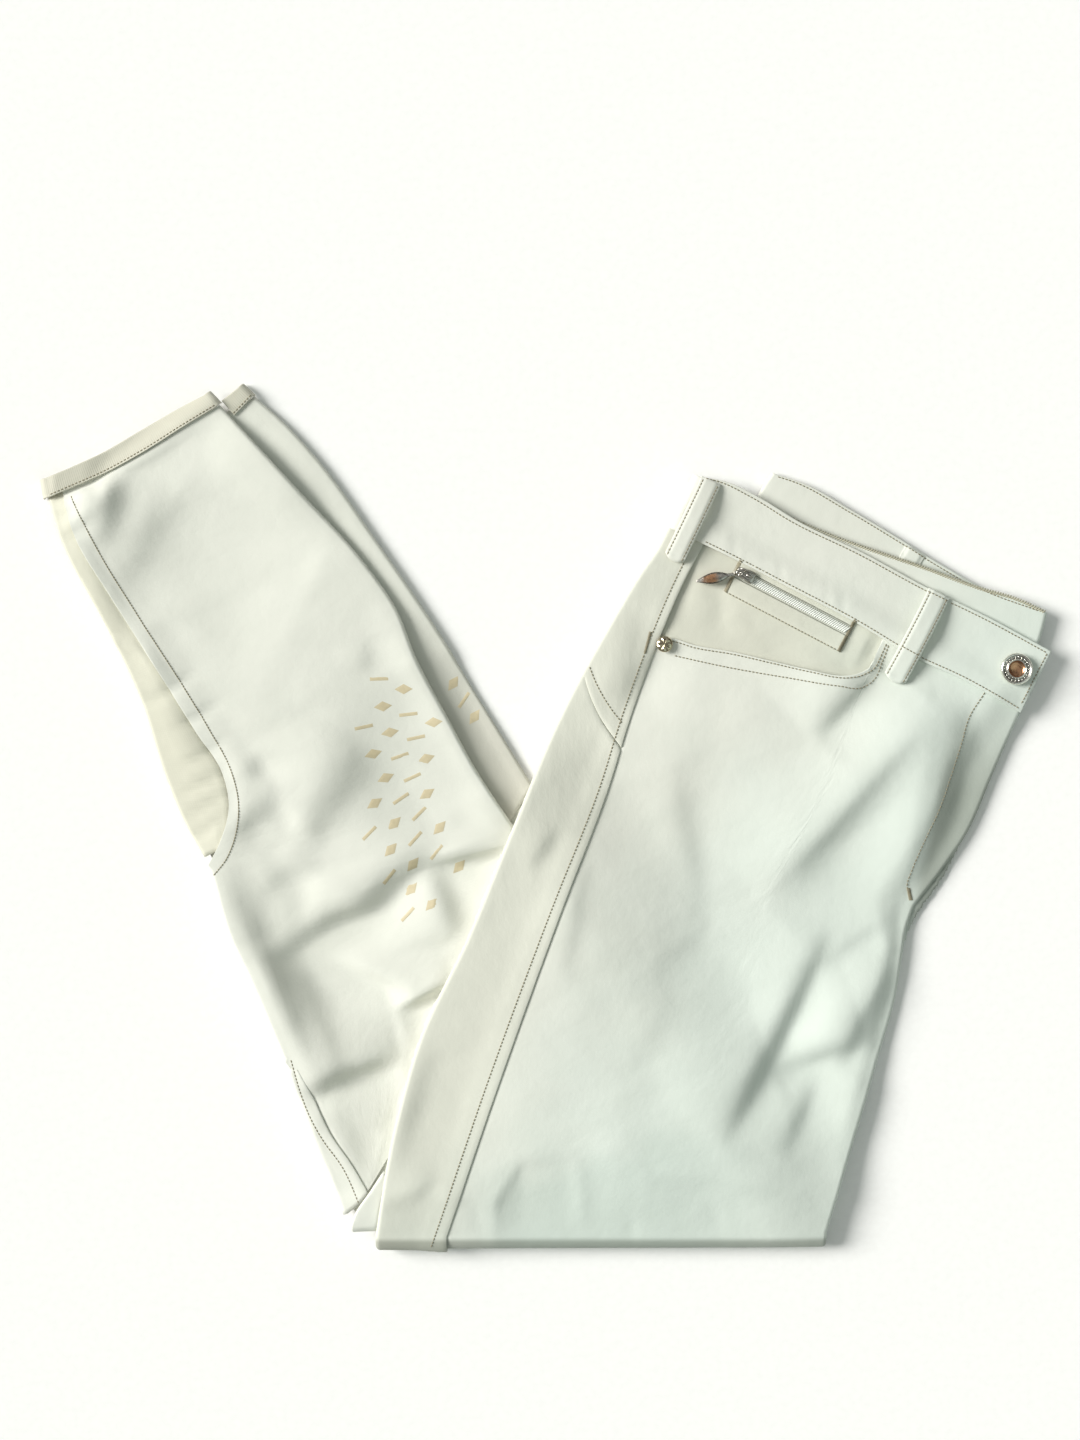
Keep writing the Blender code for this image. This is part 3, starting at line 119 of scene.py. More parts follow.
# Folds and creases of the upper legs
THIGH_FOLDS = (
    Crease(((192, 90), (173, 70), (151, 47)), 7, 11, -4.0),
    Crease(((221, 56), (186, 17), (153, -20), (124, -48)), 13, 9, -4.4),
    Crease(((240, 76), (233, 25), (228, -3), (220, -26), (210, -52)), 13, 15, -4.6),
    Crease(((74, 36), (84, -20), (91, -66)), 10, 9, -1.5),
    Crease(((94, -60), (78, -72), (58, -81)), 6, 6, -0.7),
    Crease(((161, -60), (146, -93), (135, -116), (124, -138), (109, -164), (99, -182)), 5.5, 8, -4.0),
    Crease(((128, -142), (152, -134), (182, -124)), 8, 6, 3.4),
    Crease(((199, -82), (183, -111), (166, -143)), 9, 7, -3.2),
    Crease(((154, -142), (143, -170), (131, -192)), 5, 6, -1.4),
    Crease(((196, -56), (168, -74), (154, -86)), 5, 3.5, -0.8),
    Crease(((24, -20), (18, -56), (10, -94)), 6, 6, -0.9),
    Crease(((76, -96), (62, -120), (46, -142)), 7, 7, -0.4),
    Crease(((66, 110), (57, 88), (45, 62)), 6, 6, -1.6),
    Crease(((54, 118), (46, 84), (36, 50)), 6, 10, -1.9),
    Crease(((8, -4), (0, -16), (-9, -30)), 4, 4, -1.0),
    Crease(((-86, -213), (-74, -211), (-60, -203)), 3, 3, 0.9),
    Crease(((-60, -126), (-74, -164), (-81, -198)), 7, 7, -1.2),
    Crease(((191, 116), (187, 104), (181, 88)), 3, 3.5, -2.4),
    Crease(((199, 110), (194, 98), (187, 82)), 3, 3.5, -2.4),
    Fold(((216, 58), (208, 12), (201, -38)), 11, 30, 2.0, 2),
    Fold(((178, -88), (168, -104), (160, -118)), 11, 11, 0.5, 2),
    Fold(((18, -190), (21, -214), (20, -240)), 5, 6, 0.9, 1.5),
    Fold(((48, -226), (49, -236), (47, -246)), 3, 3, -1.6, 1.5),
    Fold(((-40, -218), (-36, -230), (-38, -244)), 4, 5, -1.0, 2),
    Fold(((96, -222), (98, -234), (96, -246)), 4, 5, -1.1, 2),
    Fold(((60, 40), (34, -50), (0, -150)), 26, 30, 1.2, 2),
)
# Fall of the thigh towards its right edge: place along Y, width and depth of the fall
EDGE_FALL = ((-200, 8, 0), (-130, 10, 3), (-100, 13, 4.4), (-72, 11, 3.8), (-45, 24, 5.3), (0, 27, 5.4),
             (40, 26, 4.6), (80, 18, 2.4))
EDGE_LOWEST = 4.9
# The cloth sinks towards the fold at the knee, from a crease across the leg
THIGH_SINK = 6.0
KNEE_STEP = 0.6
KNEE_STEP_SPAN = (-2, 9)
KNEE_CREASE = ((-100, -216), (-60, -210), (-28, -214), (-13, -190), (20, -185), (56, -199), (88, -200),
               (130, -206), (170, -214))
# Folds and creases of the left lower leg
SHIN_FOLDS = (
    Crease(((-245, 216), (-243, 190), (-247, 152)), 9, 8, -3.8),
    Crease(((-264, 200), (-259, 188), (-252, 180)), 4, 4, -2.0),
    Crease(((-212, 190), (-222, 166), (-240, 128)), 14, 12, -2.8),
    Crease(((-196, 204), (-160, 182), (-118, 162)), 18, 18, 3.8),
    Crease(((-116, 68), (-98, 30), (-86, -18)), 26, 20, -3.0),
    Crease(((-176, -7), (-163, 3), (-148, 14)), 9, 8, 2.8),
    Crease(((-160, 16), (-150, -4), (-134, -28)), 8, 10, -1.5),
    Crease(((-164, 38), (-164, 30), (-165, 22)), 5, 5, -1.2),
    Crease(((-102, 46), (-118, 12), (-142, -20)), 14, 16, -4.0),
    Crease(((-154, -27), (-142, -31), (-128, -33)), 8, 8, 1.9),
    Crease(((-187, -8), (-177, -34), (-165, -60), (-151, -88), (-138, -119), (-125, -150)), 12, 9, -6.6),
    Crease(((-144, -62), (-132, -94), (-118, -126), (-108, -156)), 14, 10, -4.3),
    Crease(((-152, -8), (-144, -40), (-138, -78)), 12, 12, -2.6),
    Crease(((-158, -79), (-136, -69), (-117, -56), (-101, -49), (-86, -36), (-56, -16)), 10, 7, 6.6),
    Crease(((-66, -25), (-42, -21), (-14, -15)), 3, 3.5, 3.6),
    Crease(((-132, -78), (-104, -87), (-72, -99)), 3.5, 5, 3.0),
    Crease(((-84, -109), (-68, -101), (-50, -91)), 3.5, 4, 4.6),
    Crease(((-138, -159), (-126, -151), (-114, -144), (-100, -140), (-82, -136)), 7, 5.5, 5.4),
    Crease(((-116, -86), (-100, -126), (-92, -166)), 12, 12, -1.0),
    Crease(((-122, -150), (-106, -178), (-98, -206)), 16, 14, -3.6),
    Crease(((-64, -26), (-54, -46), (-48, -68)), 9, 8, -4.6),
    Crease(((-126, -164), (-90, -177)), 7, 7, 1.8),
    Crease(((-48, 8), (-36, 0), (-22, -5)), 4, 5, 1.0),
    Crease(((-104, 102), (-101, 92), (-102, 82)), 5, 5, -0.9),
    Fold(((-84, 110), (-54, 60), (-24, 8)), 9, 12, 3.0, 2),
    Fold(((-130, 40), (-104, -40), (-88, -130)), 44, 34, 1.6, 2),
    Fold(((-170, 120), (-145, 90), (-120, 60)), 34, 34, 1.6, 2),
    Fold(((-224, 120), (-206, 96), (-190, 70)), 12, 12, -1.0, 2),
)
# The strip of the other leg falls away beside the edge of the leg over it
STRIP_FOLDS = (
    Fold(((-53, 86), (-33, 48), (-8, 6)), 6, 13, -2.9, 2),
    Fold(((-162, 216), (-120, 164), (-80, 112)), 5, 9, -1.4, 2),
)
# Its outer face doesn't sink below this height, which it meets with a soft bend
STRIP_LOWEST = 1.9
STRIP_SOFT = 0.4
# Wrinkles of the stretch calf insert
INSERT_FOLDS = (
    Crease(((-268, 170), (-252, 140), (-232, 104)), 6, 6, -2.4),
    Crease(((-234, 104), (-208, 62), (-191, 22), (-190, -16)), 7, 6, -0.8),
    Fold(((-276, 171), (-268, 174), (-258, 181)), 2, 3, -1.3, 1.6),
    Fold(((-271, 159), (-264, 162), (-254, 170)), 2, 3, -1.2, 1.6),
    Fold(((-242, 102), (-230, 97), (-214, 80)), 2.5, 3, 2.0, 1.5),
    Fold(((-262, 140), (-250, 122), (-240, 104)), 4, 4, 0.5, 2),
    Fold(((-207, 52), (-198, 57), (-186, 65)), 2, 3, -1.5, 1.6),
    Fold(((-203, 31), (-194, 36), (-182, 44)), 2, 3, -1.6, 1.6),
    Fold(((-204, 14), (-195, 19), (-181, 28)), 2, 3, -1.6, 1.6),
    Fold(((-201, 1), (-192, 7), (-180, 15)), 2, 3, -1.4, 1.6),
    Fold(((-198, -10), (-190, -5), (-182, 3)), 2, 3, -1.2, 1.6),
    Fold(((-224, 66), (-212, 72), (-200, 82)), 3, 3, -1.4, 1.8),
)
# Waist facing above the pocket mouth
FACING_FOLDS = (
    Fold(((180, 106), (176, 98), (170, 88)), 5, 5, -1.0, 2),
    Crease(((189, 110), (183, 98), (174, 84)), 3.5, 3.5, -1.5),
    Crease(((203, 106), (194, 94), (181, 80)), 3.5, 3.5, -1.5),
    Fold(((96, 108), (118, 104), (142, 92)), 6, 8, -0.9, 2),
    Fold(((96, 131), (100, 122), (99, 112)), 5, 6, -0.9, 2),
    Fold(((108, 112), (114, 106), (126, 104)), 5, 7, 0.7, 2),
    Fold(((186, 102), (184, 95), (180, 88)), 3, 3, -0.7, 1.8),
    Fold(((78, 148), (80, 134), (78, 120)), 4, 5, -0.6, 2),
)

# Plan curves as x and y. Sides run from the waist or the hem down to the knee, and seams across from the left
BACK_FOLD = ((73.6, 167), (51.5, 136), (38, 113), (13, 68), (-21, -11), (-44, -67), (-70, -122), (-84, -170),
             (-97, -243))
SIDE_SEAM = ((91, 158), (78, 133), (65.5, 104), (57.5, 83), (47, 53), (37.5, 22), (9.5, -51), (-27, -152),
             (-58, -243))
FLY_EDGE = ((270, 62), (254, 25), (239, -9), (226, -28), (209.5, -49.5))
INSEAM = ((209.5, -49.5), (205, -62), (202.5, -77), (198.5, -102), (188, -138), (156.5, -242))
WAIST_SEAM = ((70, 167), (109, 148), (133, 135.5), (174, 114), (210, 93), (236, 81), (270, 62))
FRONT_WAIST_SEAM = ((193, 104), (210, 95), (236, 83), (270.5, 64))
YOKE_SEAM = ((20.3, 81.3), (22.6, 74), (26.2, 65.5), (31, 56.5), (37, 48), (42.5, 41))
MOUTH = ((63, 103), (73.3, 102.3), (84, 99), (105.8, 95.2), (127.4, 90.3), (149, 85.3), (170.6, 81.7),
         (177, 82.5))
MOUTH_END = ((177, 82.5), (184, 86), (189, 95), (193, 104))
BAND_TOP = ((84, 195.5), (98, 193), (117, 184), (140, 170), (178, 151.5), (215, 131.5), (249, 115), (286, 95))
INNER_BAND_TOP = ((138, 171), (163, 160.5), (193, 150), (214, 143), (245, 131.5), (267, 125), (284.5, 117))
OUTER_BAND_TOP = ((129, 197), (144, 192), (172, 176.5), (202, 158.5), (222, 146), (247, 132), (283, 118.5))
LEFT_OUTLINE = ((-282, 182), (-274, 158), (-250, 112), (-229, 68), (-214, 22), (-205, 0), (-190, -26))
LEFT_WRAP = ((-190, -26), (-177, -68), (-166, -91), (-146, -137))
LEFT_KNEE = ((-146, -137), (-140, -157), (-130.5, -181), (-121, -204), (-114, -224))
INSERT_SEAM = ((-273.5, 186.5), (-264.5, 158), (-248, 130), (-218, 83), (-196, 48), (-182, 27), (-178, 8),
               (-183, -12), (-190, -26))
LEFT_SEAM = ((-140.5, -138), (-132, -155), (-121.5, -177), (-109, -195), (-99.5, -211.5))
LEFT_SHIN = ((-184, 234.5), (-141, 188), (-102, 145), (-84, 119), (-73, 92), (-53.5, 55), (-40, 30),
             (-17, -5))
LEFT_HEM = ((-282, 182), (-246, 198), (-224, 210), (-204, 222.5), (-184, 234.5))
LEFT_HEM_EDGE = ((-284.5, 193), (-277, 196), (-255, 206), (-228, 221.5), (-205, 234.5), (-191, 241.5))
RIGHT_SHIN = ((-165, 240), (-148, 225), (-128, 203), (-95.5, 158), (-64, 112), (-36, 67.5), (-6, 18))
RIGHT_HEM = ((-175.9, 228.7), (-171, 233.7), (-165.5, 239.5))
RIGHT_HEM_EDGE = ((-183.2, 237.1), (-178.5, 241), (-172.5, 246))
CORNER_SIDE = ((-87.5, -192.5), (-100, -211.5), (-106, -220), (-111, -232.8))
SHIN_UNDER_THIGH = ((-6, 18), (156.5, -242))

# Pocket zip: a point on the line of its teeth and the way along it, the ends of the opening along that line,
# and distances across it
ZIP_START = (119.5, 134.0)
ZIP_ALONG = (0.886, -0.464)
ZIP_OPENING = (-14.0, 60.0)
TAPE_HALF = 2.9
TAPE_CLOTH = 0.7
WELT_GAP = 0.3
UPPER_WELT_EDGE = 7.4
LOWER_WELT_EDGE = 13.2
WELT_LEVEL = 1.7
TAPE_LEVEL = 1.1

# Slider, with its pull tab hanging from a bail: the bail's place along and across the zip, the height of the
# slider and its distance from the welts, the bail's height and the share of it where the pull hangs, and the
# pull's way and tilt
BAIL_ALONG = -9.7
BAIL_OFFSET = 0.9
SLIDER_HEIGHT = 2.2
SLIDER_CLEAR = 0.4
BAIL_HEIGHT = 2.0
BAIL_GRIP = 0.6
PULL_HEADING = math.radians(190.6)
PULL_TILT = math.radians(5.6)

# Rivet and button: centre, radius over which each rests on the cloth, and its height above the cloth
RIVET_CENTRE = (67.5, 99.0)
RIVET_SHANK = 2.6
RIVET_LIFT = 2.2
BUTTON_CENTRE = (266.0, 85.0)
BUTTON_SEAT = 8.4
BUTTON_LIFT = 0.4
ROUND_STEPS = 24

# Belt loops: the middle of the upper end, the middle of the lower end, half the width, and the arch
Loop = namedtuple("Loop", "x0 y0 x1 y1 half_width arch")
LOOP_ARCH = 4.94
SIDE_LOOP = Loop(94.0, 191.5, 72.3, 146.2, 6.0, LOOP_ARCH)
FRONT_LOOP = Loop(222.7, 128.0, 196.5, 78.2, 6.6, LOOP_ARCH)
BACK_LOOP = Loop(210.2, 152.3, 205.0, 143.5, 6.4, 0.0)
LOOP_CLOTH = 1.6
BACK_LOOP_CLOTH = 0.9
# Height of the loops' ends, and their rows of stitches inside their edges
LOOP_END = 12.8
LOOP_SEAM = 1.5
# A loop's edges fall by this much over this width, and its lower end is rounded and turned under
LOOP_ROUND = 0.8
LOOP_EDGE = 3.4
LOOP_HEM = 0.5
LOOP_HEM_MIDDLE = 1.6
LOOP_HEM_WIDTH = 1.3
LOOP_BULGE = 2.2
# Width of the lower end's straight part in shares of the loop's width, and its distance from the loop's end
LOOP_TIP_SHARE = 0.55
LOOP_TIP_INSET = 0.2

# Heights of the waistband's layers
FRONT_BAND_HEIGHT = 10.8
INNER_BAND_HEIGHT = 8.2
OUTER_BAND_HEIGHT = 4.6
BACK_LOOP_TOP = 5.9

# Rows of stitches
FLY_STITCH = ((248.6, 72), (239.6, 57.1), (235.8, 44.3), (229.3, 23.8), (222.9, 5.9), (214, -13.3),
              (207.6, -28.6), (205, -37.6), (206.6, -44))
YOKE_STITCH = ((25, 86.5), (28.6, 77.5), (33.1, 69), (38, 61.5), (43.6, 54.5))
MOUTH_STITCH = ((73, 92.6), (101, 86.4), (137, 80), (165, 75.4), (179, 74.4), (186, 79), (190.5, 89),
                (195, 100.5))
INSERT_STITCH = ((-268, 183), (-248.8, 145.3), (-229.2, 113.5), (-208.5, 81.6), (-188.9, 49.7),
                 (-176.7, 27.2), (-172.6, 8.5), (-174.5, -8.3), (-180.5, -23.3), (-187, -31.5))
CALF_STITCH = ((-143.2, -135), (-135.7, -162), (-126.8, -179.3), (-114.2, -197), (-104.5, -219))
# From stitch to stitch, length of a stitch, radius of the thread and of a needle hole
STITCH = 2.1
STITCH_LENGTH = 1.25
THREAD = 0.32
HOLE_RADIUS = 0.27
# The groove that a row of stitches pulls into the cloth, and the puckers along the waistband
GROOVE = 0.24
GROOVE_WIDTH = 0.95
BAND_PUCKER = 0.4
# Distances from a lapped edge between which its lift fades
LAP_SPAN = (4.0, 19.0)
# A lapped edge stands this much above its neighbour, whose own hidden edge dips under it
LAP_STEP = 0.95
TUCK_DIP = 1.4
TUCK_SPAN = (1.0, 2.8)
# The same for the seam between yoke and back strip, which is sewn flat
YOKE_STEP = 0.2
YOKE_DIP = 0.75

# Silicone print: the middle of the printed strip, the marks' spacing along and across it, and their slant
PRINT_PATH = ((-74, 78), (-81, 60), (-86, 34), (-85, 10), (-76, -14), (-66, -34), (-58, -52))
PRINT_PITCH = (12.5, 15.0)
PRINT_SLANT = math.radians(24)
PRINT_OTHER_LEG = ((-52, 77), (-40, 58))

# Linear tints of painted light and shade on the cloth, and where they begin and are full, in metres.
# Painted cool light: cooler towards the lower right, along a slanting way, with an uneven border
PAINTED_COOL_LIGHT = (0.945, 1.015, 1.03, 1.0)
COOL_LIGHT_WAY = (0.8, 0.6)
COOL_LIGHT_SPAN = (0.02, 0.17)
TINT_DRIFT = 0.02
# Painted shade: a little darker along the folded knee, between its two ends
PAINTED_KNEE_SHADE = (0.9, 0.925, 0.92, 1.0)
KNEE_SPAN = (0.182, 0.212)
KNEE_LEFT_SPAN = (-0.055, -0.01)
KNEE_RIGHT_SPAN = (0.06, 0.15)
# Painted shade: dark under the fly's slanting edge and under the rounding of the folded knee
PAINTED_DEEP_SHADE = (0.6, 0.6, 0.58, 1.0)
FLY_SLANT = 0.2
FLY_SPAN = (0.214, 0.224)
FLY_TOP_SPAN = (-0.075, -0.01)
FLY_LOW_SPAN = (-0.1, -0.06)
KNEE_UNDER_SPAN = (0.2345, 0.2385)
# Painted shadow: darker towards the lower end of the other leg's strip, deep between the layers
PAINTED_STRIP_SHADOW = (0.79, 0.77, 0.745, 1.0)
STRIP_SHADOW_SPAN = (-0.14, -0.03)
# Leaf of the pull, with painted reflections: where its copper reflection begins and is full, the same for
# its painted highlight at the tip, and for its painted dark rim in shares of its half width
LEAF_COPPER_REFLECTION_SPAN = (0.0125, 0.017)
LEAF_TIP_HIGHLIGHT_SPAN = (0.0205, 0.0245)
LEAF_SHADED_RIM_SPAN = (0.6, 0.95)
LEAF_DRIFT = 0.0012
# Values of a noise texture that are spread over the whole of a range
NOISE_SPAN = (0.3, 0.7)

# Finishes, as sRGB
COLOURS = {
    "cloth": (230, 230, 221),
    "cloth_shade": (223, 224, 214),
    # Back panels: the same softshell with painted shade, a little darker and warmer
    "back": (223, 223, 211),
    "calf": (222, 220, 203),
    # Pocket facing and welts: the same softshell with painted shade, a little darker and warmer
    "facing": (223, 222, 208),
    "elastic": (222, 219, 203),
    "tape": (208, 208, 196),
    # Thread: its own beige, darkened with painted shade from the groove it lies in
    "thread": (168, 160, 136),
    "rope": (213, 208, 184),
    # Dark discs of painted shade in the needle holes
    "hole": (128, 120, 98),
    "print": (203, 190, 158),
    "teeth": (228, 230, 224),
    "nickel": (236, 231, 222),
    "brass": (208, 196, 168),
    "rose": (206, 158, 122),
    "floor": (254, 253, 252),
}


def smooth(value, low, high):
    """0 below LOW and 1 above HIGH, with an eased rise between."""
    share = np.clip((value - low) / (high - low), 0, 1)
    return share * share * (3 - 2 * share)


class Curve:
    """A smooth plan curve through one or more short runs of points, with corners between the runs."""

    # Samples from knot to knot, spacing of the marks that distances are measured from, and reach of a normal
    SAMPLES = 12
    MARK_PITCH = 6
    NORMAL_REACH = 2.0

    def __init__(self, *runs):
        traced = [self.trace(np.array(run, float)) for run in runs]
        for run in range(1, len(traced)):
            traced[run] = traced[run][1:]
        self.measure(np.concatenate(traced))

    def measure(self, points):
        """Takes dense points, and the share of the length at each."""
        self.points = points
        steps = np.linalg.norm(np.diff(points, axis=0), axis=1)
        self.length = steps.sum()
        self.shares = np.concatenate([[0], np.cumsum(steps)]) / self.length
        return self

    def trace(self, knots):
        """Dense points of a cubic spline through one run."""
        if len(knots) == 2:
            return knots
        spans = np.linalg.norm(np.diff(knots, axis=0), axis=1)
        times = np.concatenate([[0], np.cumsum(spans)])
        slopes = np.gradient(knots, times, axis=0)
        found = []
        for start in range(len(knots) - 1):
            t = np.arange(self.SAMPLES)[:, None] / self.SAMPLES
            span = spans[start]
            found.append(
                (2 * t**3 - 3 * t**2 + 1) * knots[start]
                + (t**3 - 2 * t**2 + t) * span * slopes[start]
                + (3 * t**2 - 2 * t**3) * knots[start + 1]
                + (t**3 - t**2) * span * slopes[start + 1]
            )
        return np.concatenate(found + [knots[-1:]])

    def at(self, share):
        """Points at these shares of the length."""
        return np.stack([np.interp(share, self.shares, self.points[:, axis]) for axis in (0, 1)], axis=-1)

    def normal(self, share):
        """Unit vectors to the left of the way along the curve."""
        reach = self.NORMAL_REACH / self.length
        way = self.at(np.minimum(share + reach, 1)) - self.at(np.maximum(share - reach, 0))
        way = way / np.linalg.norm(way, axis=-1, keepdims=True)
        return np.stack([-way[..., 1], way[..., 0]], axis=-1)

    def shifted(self, distance):
        """The curve moved to its left, by one distance or by a function of the share of length."""
        far = distance(self.shares)[:, None] if callable(distance) else distance
        return Curve(self.points[[0, -1]]).measure(self.points + far * self.normal(self.shares))

    def part(self, start, end):
        """The stretch between two shares."""
        inside = self.shares[(self.shares > start + 1e-4) & (self.shares < end - 1e-4)]
        points = self.at(np.concatenate([[start], inside, [end]]))
        return Curve(points[[0, -1]]).measure(points)

    def share_near(self, point):
        """The share of the length nearest to a point."""
        spots = np.linspace(0, 1, 800)
        return spots[np.argmin(np.linalg.norm(self.at(spots) - np.array(point), axis=1))]

    def before(self, point):
        """The stretch that ends where the curve is nearest to a point."""
        return self.part(0, self.share_near(point))

    def after(self, point):
        """The stretch that begins where the curve is nearest to a point."""
        return self.part(self.share_near(point), 1)

    def between(self, first, last):
        """The stretch from the place nearest to one point to the place nearest to another."""
        return self.part(self.share_near(first), self.share_near(last))

    def nearest(self, x, y):
        """Distance of plan points from the curve, positive to its left, and the share of it they lie at."""
        marks = np.linspace(0, 1, max(8, int(self.length / self.MARK_PITCH)))
        line = self.at(marks)
        start, way = line[:-1], np.diff(line, axis=0)
        spots = np.stack([np.asarray(x, float), np.asarray(y, float)], axis=-1)
        best = np.full(spots.shape[:-1], np.inf)
        side = np.ones(spots.shape[:-1])
        share = np.zeros(spots.shape[:-1])
        for number in range(len(way)):
            apart = spots - start[number]
            along = np.clip((apart @ way[number]) / (way[number] @ way[number]), 0, 1)
            gap = apart - along[..., None] * way[number]
            far = np.hypot(gap[..., 0], gap[..., 1])
            closer = far < best
            cross = way[number, 0] * apart[..., 1] - way[number, 1] * apart[..., 0]
            best = np.where(closer, far, best)
            side = np.where(closer, np.where(cross >= 0, 1, -1), side)
            share = np.where(closer, (number + along) / len(way), share)
        return side * best, share

    def distance(self, x, y):
        """Distance of plan points from the curve, positive to its left."""
        return self.nearest(x, y)[0]


# How fast creases and folds fade towards their ends, how steep a crease is, and how fast it levels out
CREASE_FADE = 2.2
CREASE_STEEP = 1.4
CREASE_LEVEL = 0.06
FOLD_FADE = (0.55, 2.5)


def folded(folds, x, y):
    """Height that folds and creases add at plan points. Each one fades towards its ends."""
    total = np.zeros_like(np.asarray(x, float))
    for fold in folds:
        apart, share = Curve(fold.points).nearest(x, y)
        reach = apart / np.where(apart > 0, fold.left, fold.right)
        if isinstance(fold, Crease):
            fade = 1 - np.abs(2 * share - 1) ** CREASE_FADE
            total += fold.height * fade * np.tanh(CREASE_STEEP * reach) * np.exp(-CREASE_LEVEL * reach**2)
        else:
            fade = 1 - FOLD_FADE[0] * np.abs(2 * share - 1) ** FOLD_FADE[1]
            total += fold.height * fade * np.exp(-(np.abs(reach) ** fold.power))
    return total


# Length and height of the slow waves in the cloth, each with a heading and a phase of its own
WAVE_SIZES = ((130, 0.3), (104, 0.25), (83, 0.2), (61, 0.15), (47, 0.11), (35, 0.09), (26, 0.06))
WAVES = np.random.default_rng(11)
RIPPLES = [(WAVES.uniform(0, math.pi), WAVES.uniform(0, 2 * math.pi), length, height)
           for length, height in WAVE_SIZES]


def ripple(x, y):
    """Slight unevenness of cloth that has been worn and folded."""
    total = 0 * x
    for heading, phase, length, height in RIPPLES:
        run = (x * math.cos(heading) + y * math.sin(heading)) * 2 * math.pi / length
        total = total + height * np.sin(run + phase + 0.9 * np.sin(run * 0.37 + phase))
    return total


# The right leg lies inside the left leg's side and ends at a line of its own
RIGHT_LEG_INSET = 5.6
RIGHT_LEG_SIDE = Curve(LEFT_OUTLINE, LEFT_WRAP, LEFT_KNEE).shifted(RIGHT_LEG_INSET)
RIGHT_HEM_LINE = Curve(((-291, 143), (-191, 230), (-152, 264)))
THIGH_EDGE = Curve(BACK_FOLD)
THIGH_RIGHT = Curve(FLY_EDGE, INSEAM)
SHIN_EDGE = Curve(SHIN_UNDER_THIGH)
WAIST = Curve(WAIST_SEAM)
LEFT_HEM_CURVE = Curve(LEFT_HEM)
CREASE_LINE = np.array(KNEE_CREASE, float).T

# Distances over which the height fields change
RISE_SPAN = (-48, 23)
WAIST_CALM = (-4, -22)
KNEE_CALM = (KNEE_LINE + 2, KNEE_LINE + 34)
BESIDE_SPAN = (-5, 12)
BEYOND_SPAN = (-18, -1)
HEM_CALM = (-2, -8)
BAND_RISE_SPAN = (3, 16)
# Share of its height that the left lower leg keeps beside the right one
BESIDE_SHARE = 0.45
# Shares of the slow waves that reach the other panels
SHIN_RIPPLE = 0.9
STRIP_RIPPLE = 0.35
BAND_RIPPLE = 0.3
# The waistband's puckers lie between these distances from its seam and fade towards its right end
PUCKER_TOP = (15, 3)
PUCKER_LOW = (-2, 1)
PUCKER_END = (205, 150)


def rise(x, y):
    """Height of the lower legs under the thighs."""
    return THIGH_RISE * smooth(-SHIN_EDGE.distance(x, y), *RISE_SPAN)


def thigh_height(x, y):
    """Outer face of the uppermost thigh layer."""
    calm = smooth(WAIST.distance(x, y), *WAIST_CALM) * smooth(y, *KNEE_CALM)
    crease = np.interp(x, *CREASE_LINE)
    sunk = THIGH_SINK * np.clip((crease - y) / (crease - KNEE_LINE), 0, 1)
    sunk = sunk + KNEE_STEP * smooth(crease - y, *KNEE_STEP_SPAN)
    found = THIGH_TOP + rise(x, y) - sunk + calm * (folded(THIGH_FOLDS, x, y) + ripple(x, y))
    along, width, depth = np.array(EDGE_FALL, float).T
    inside = smooth(-THIGH_RIGHT.distance(x, y), 0, np.interp(y, along, width))
    found = found - np.interp(y, along, depth) * (1 - inside)
    return EDGE_LOWEST + np.logaddexp(0, found - EDGE_LOWEST)


def facing_height(x, y):
    """Outer face of the hip piece behind the pocket mouth."""
    return THIGH_TOP + rise(x, y) - FACING_DROP + folded(FACING_FOLDS, x, y)


def right_shin_height(x, y):
    """Outer face of the right lower leg, which shows as a strip."""
    found = RIGHT_SHIN_TOP + STRIP_RIPPLE * ripple(x, y) + folded(STRIP_FOLDS, x, y)
    return STRIP_LOWEST + STRIP_SOFT * np.logaddexp(0, (found - STRIP_LOWEST) / STRIP_SOFT)


def left_shin_height(x, y):
    """Outer face of the left lower leg, which droops where no layer of the right one is under it."""
    beside = BESIDE_SHARE + (1 - BESIDE_SHARE) * smooth(RIGHT_LEG_SIDE.distance(x, y), *BESIDE_SPAN)
    beyond = smooth(-RIGHT_HEM_LINE.distance(x, y), *BEYOND_SPAN)
    calm = smooth(LEFT_HEM_CURVE.distance(x, y), *HEM_CALM)
    folds = folded(SHIN_FOLDS, x, y) + folded(INSERT_FOLDS, x, y) + SHIN_RIPPLE * ripple(x, y)
    found = LEFT_SHIN_ALONE + (LEFT_SHIN_TOP - LEFT_SHIN_ALONE) * beside * beyond + calm * folds
    return LOWEST + np.logaddexp(0, found - LOWEST)


def corner_height(x, y):
    return CORNER_TOP + 0 * x


def front_band_height(x, y):
    """The waistband laps over the panels below it and falls towards its upper edge."""
    above = WAIST.distance(x, y)
    lapped = thigh_height(x, y) + BAND_CLOTH + SEAM_GAP
    pulled = smooth(above, *PUCKER_TOP) * smooth(above, *PUCKER_LOW) * smooth(x, *PUCKER_END)
    puckers = np.sin(x * 0.93 + 1.7 * np.sin(x * 0.21)) * (0.6 + 0.4 * np.sin(x * 0.113 + 1.0))
    even = lapped + (FRONT_BAND_HEIGHT - lapped) * smooth(above, *BAND_RISE_SPAN) + BAND_RIPPLE * ripple(x, y)
    return even + BAND_PUCKER * puckers * pulled


def inner_band_height(x, y):
    return INNER_BAND_HEIGHT + BAND_RIPPLE * ripple(x, y)


def outer_band_height(x, y):
    return OUTER_BAND_HEIGHT + BAND_RIPPLE * ripple(x, y)


# ---------------------------------------------------------------- finishes

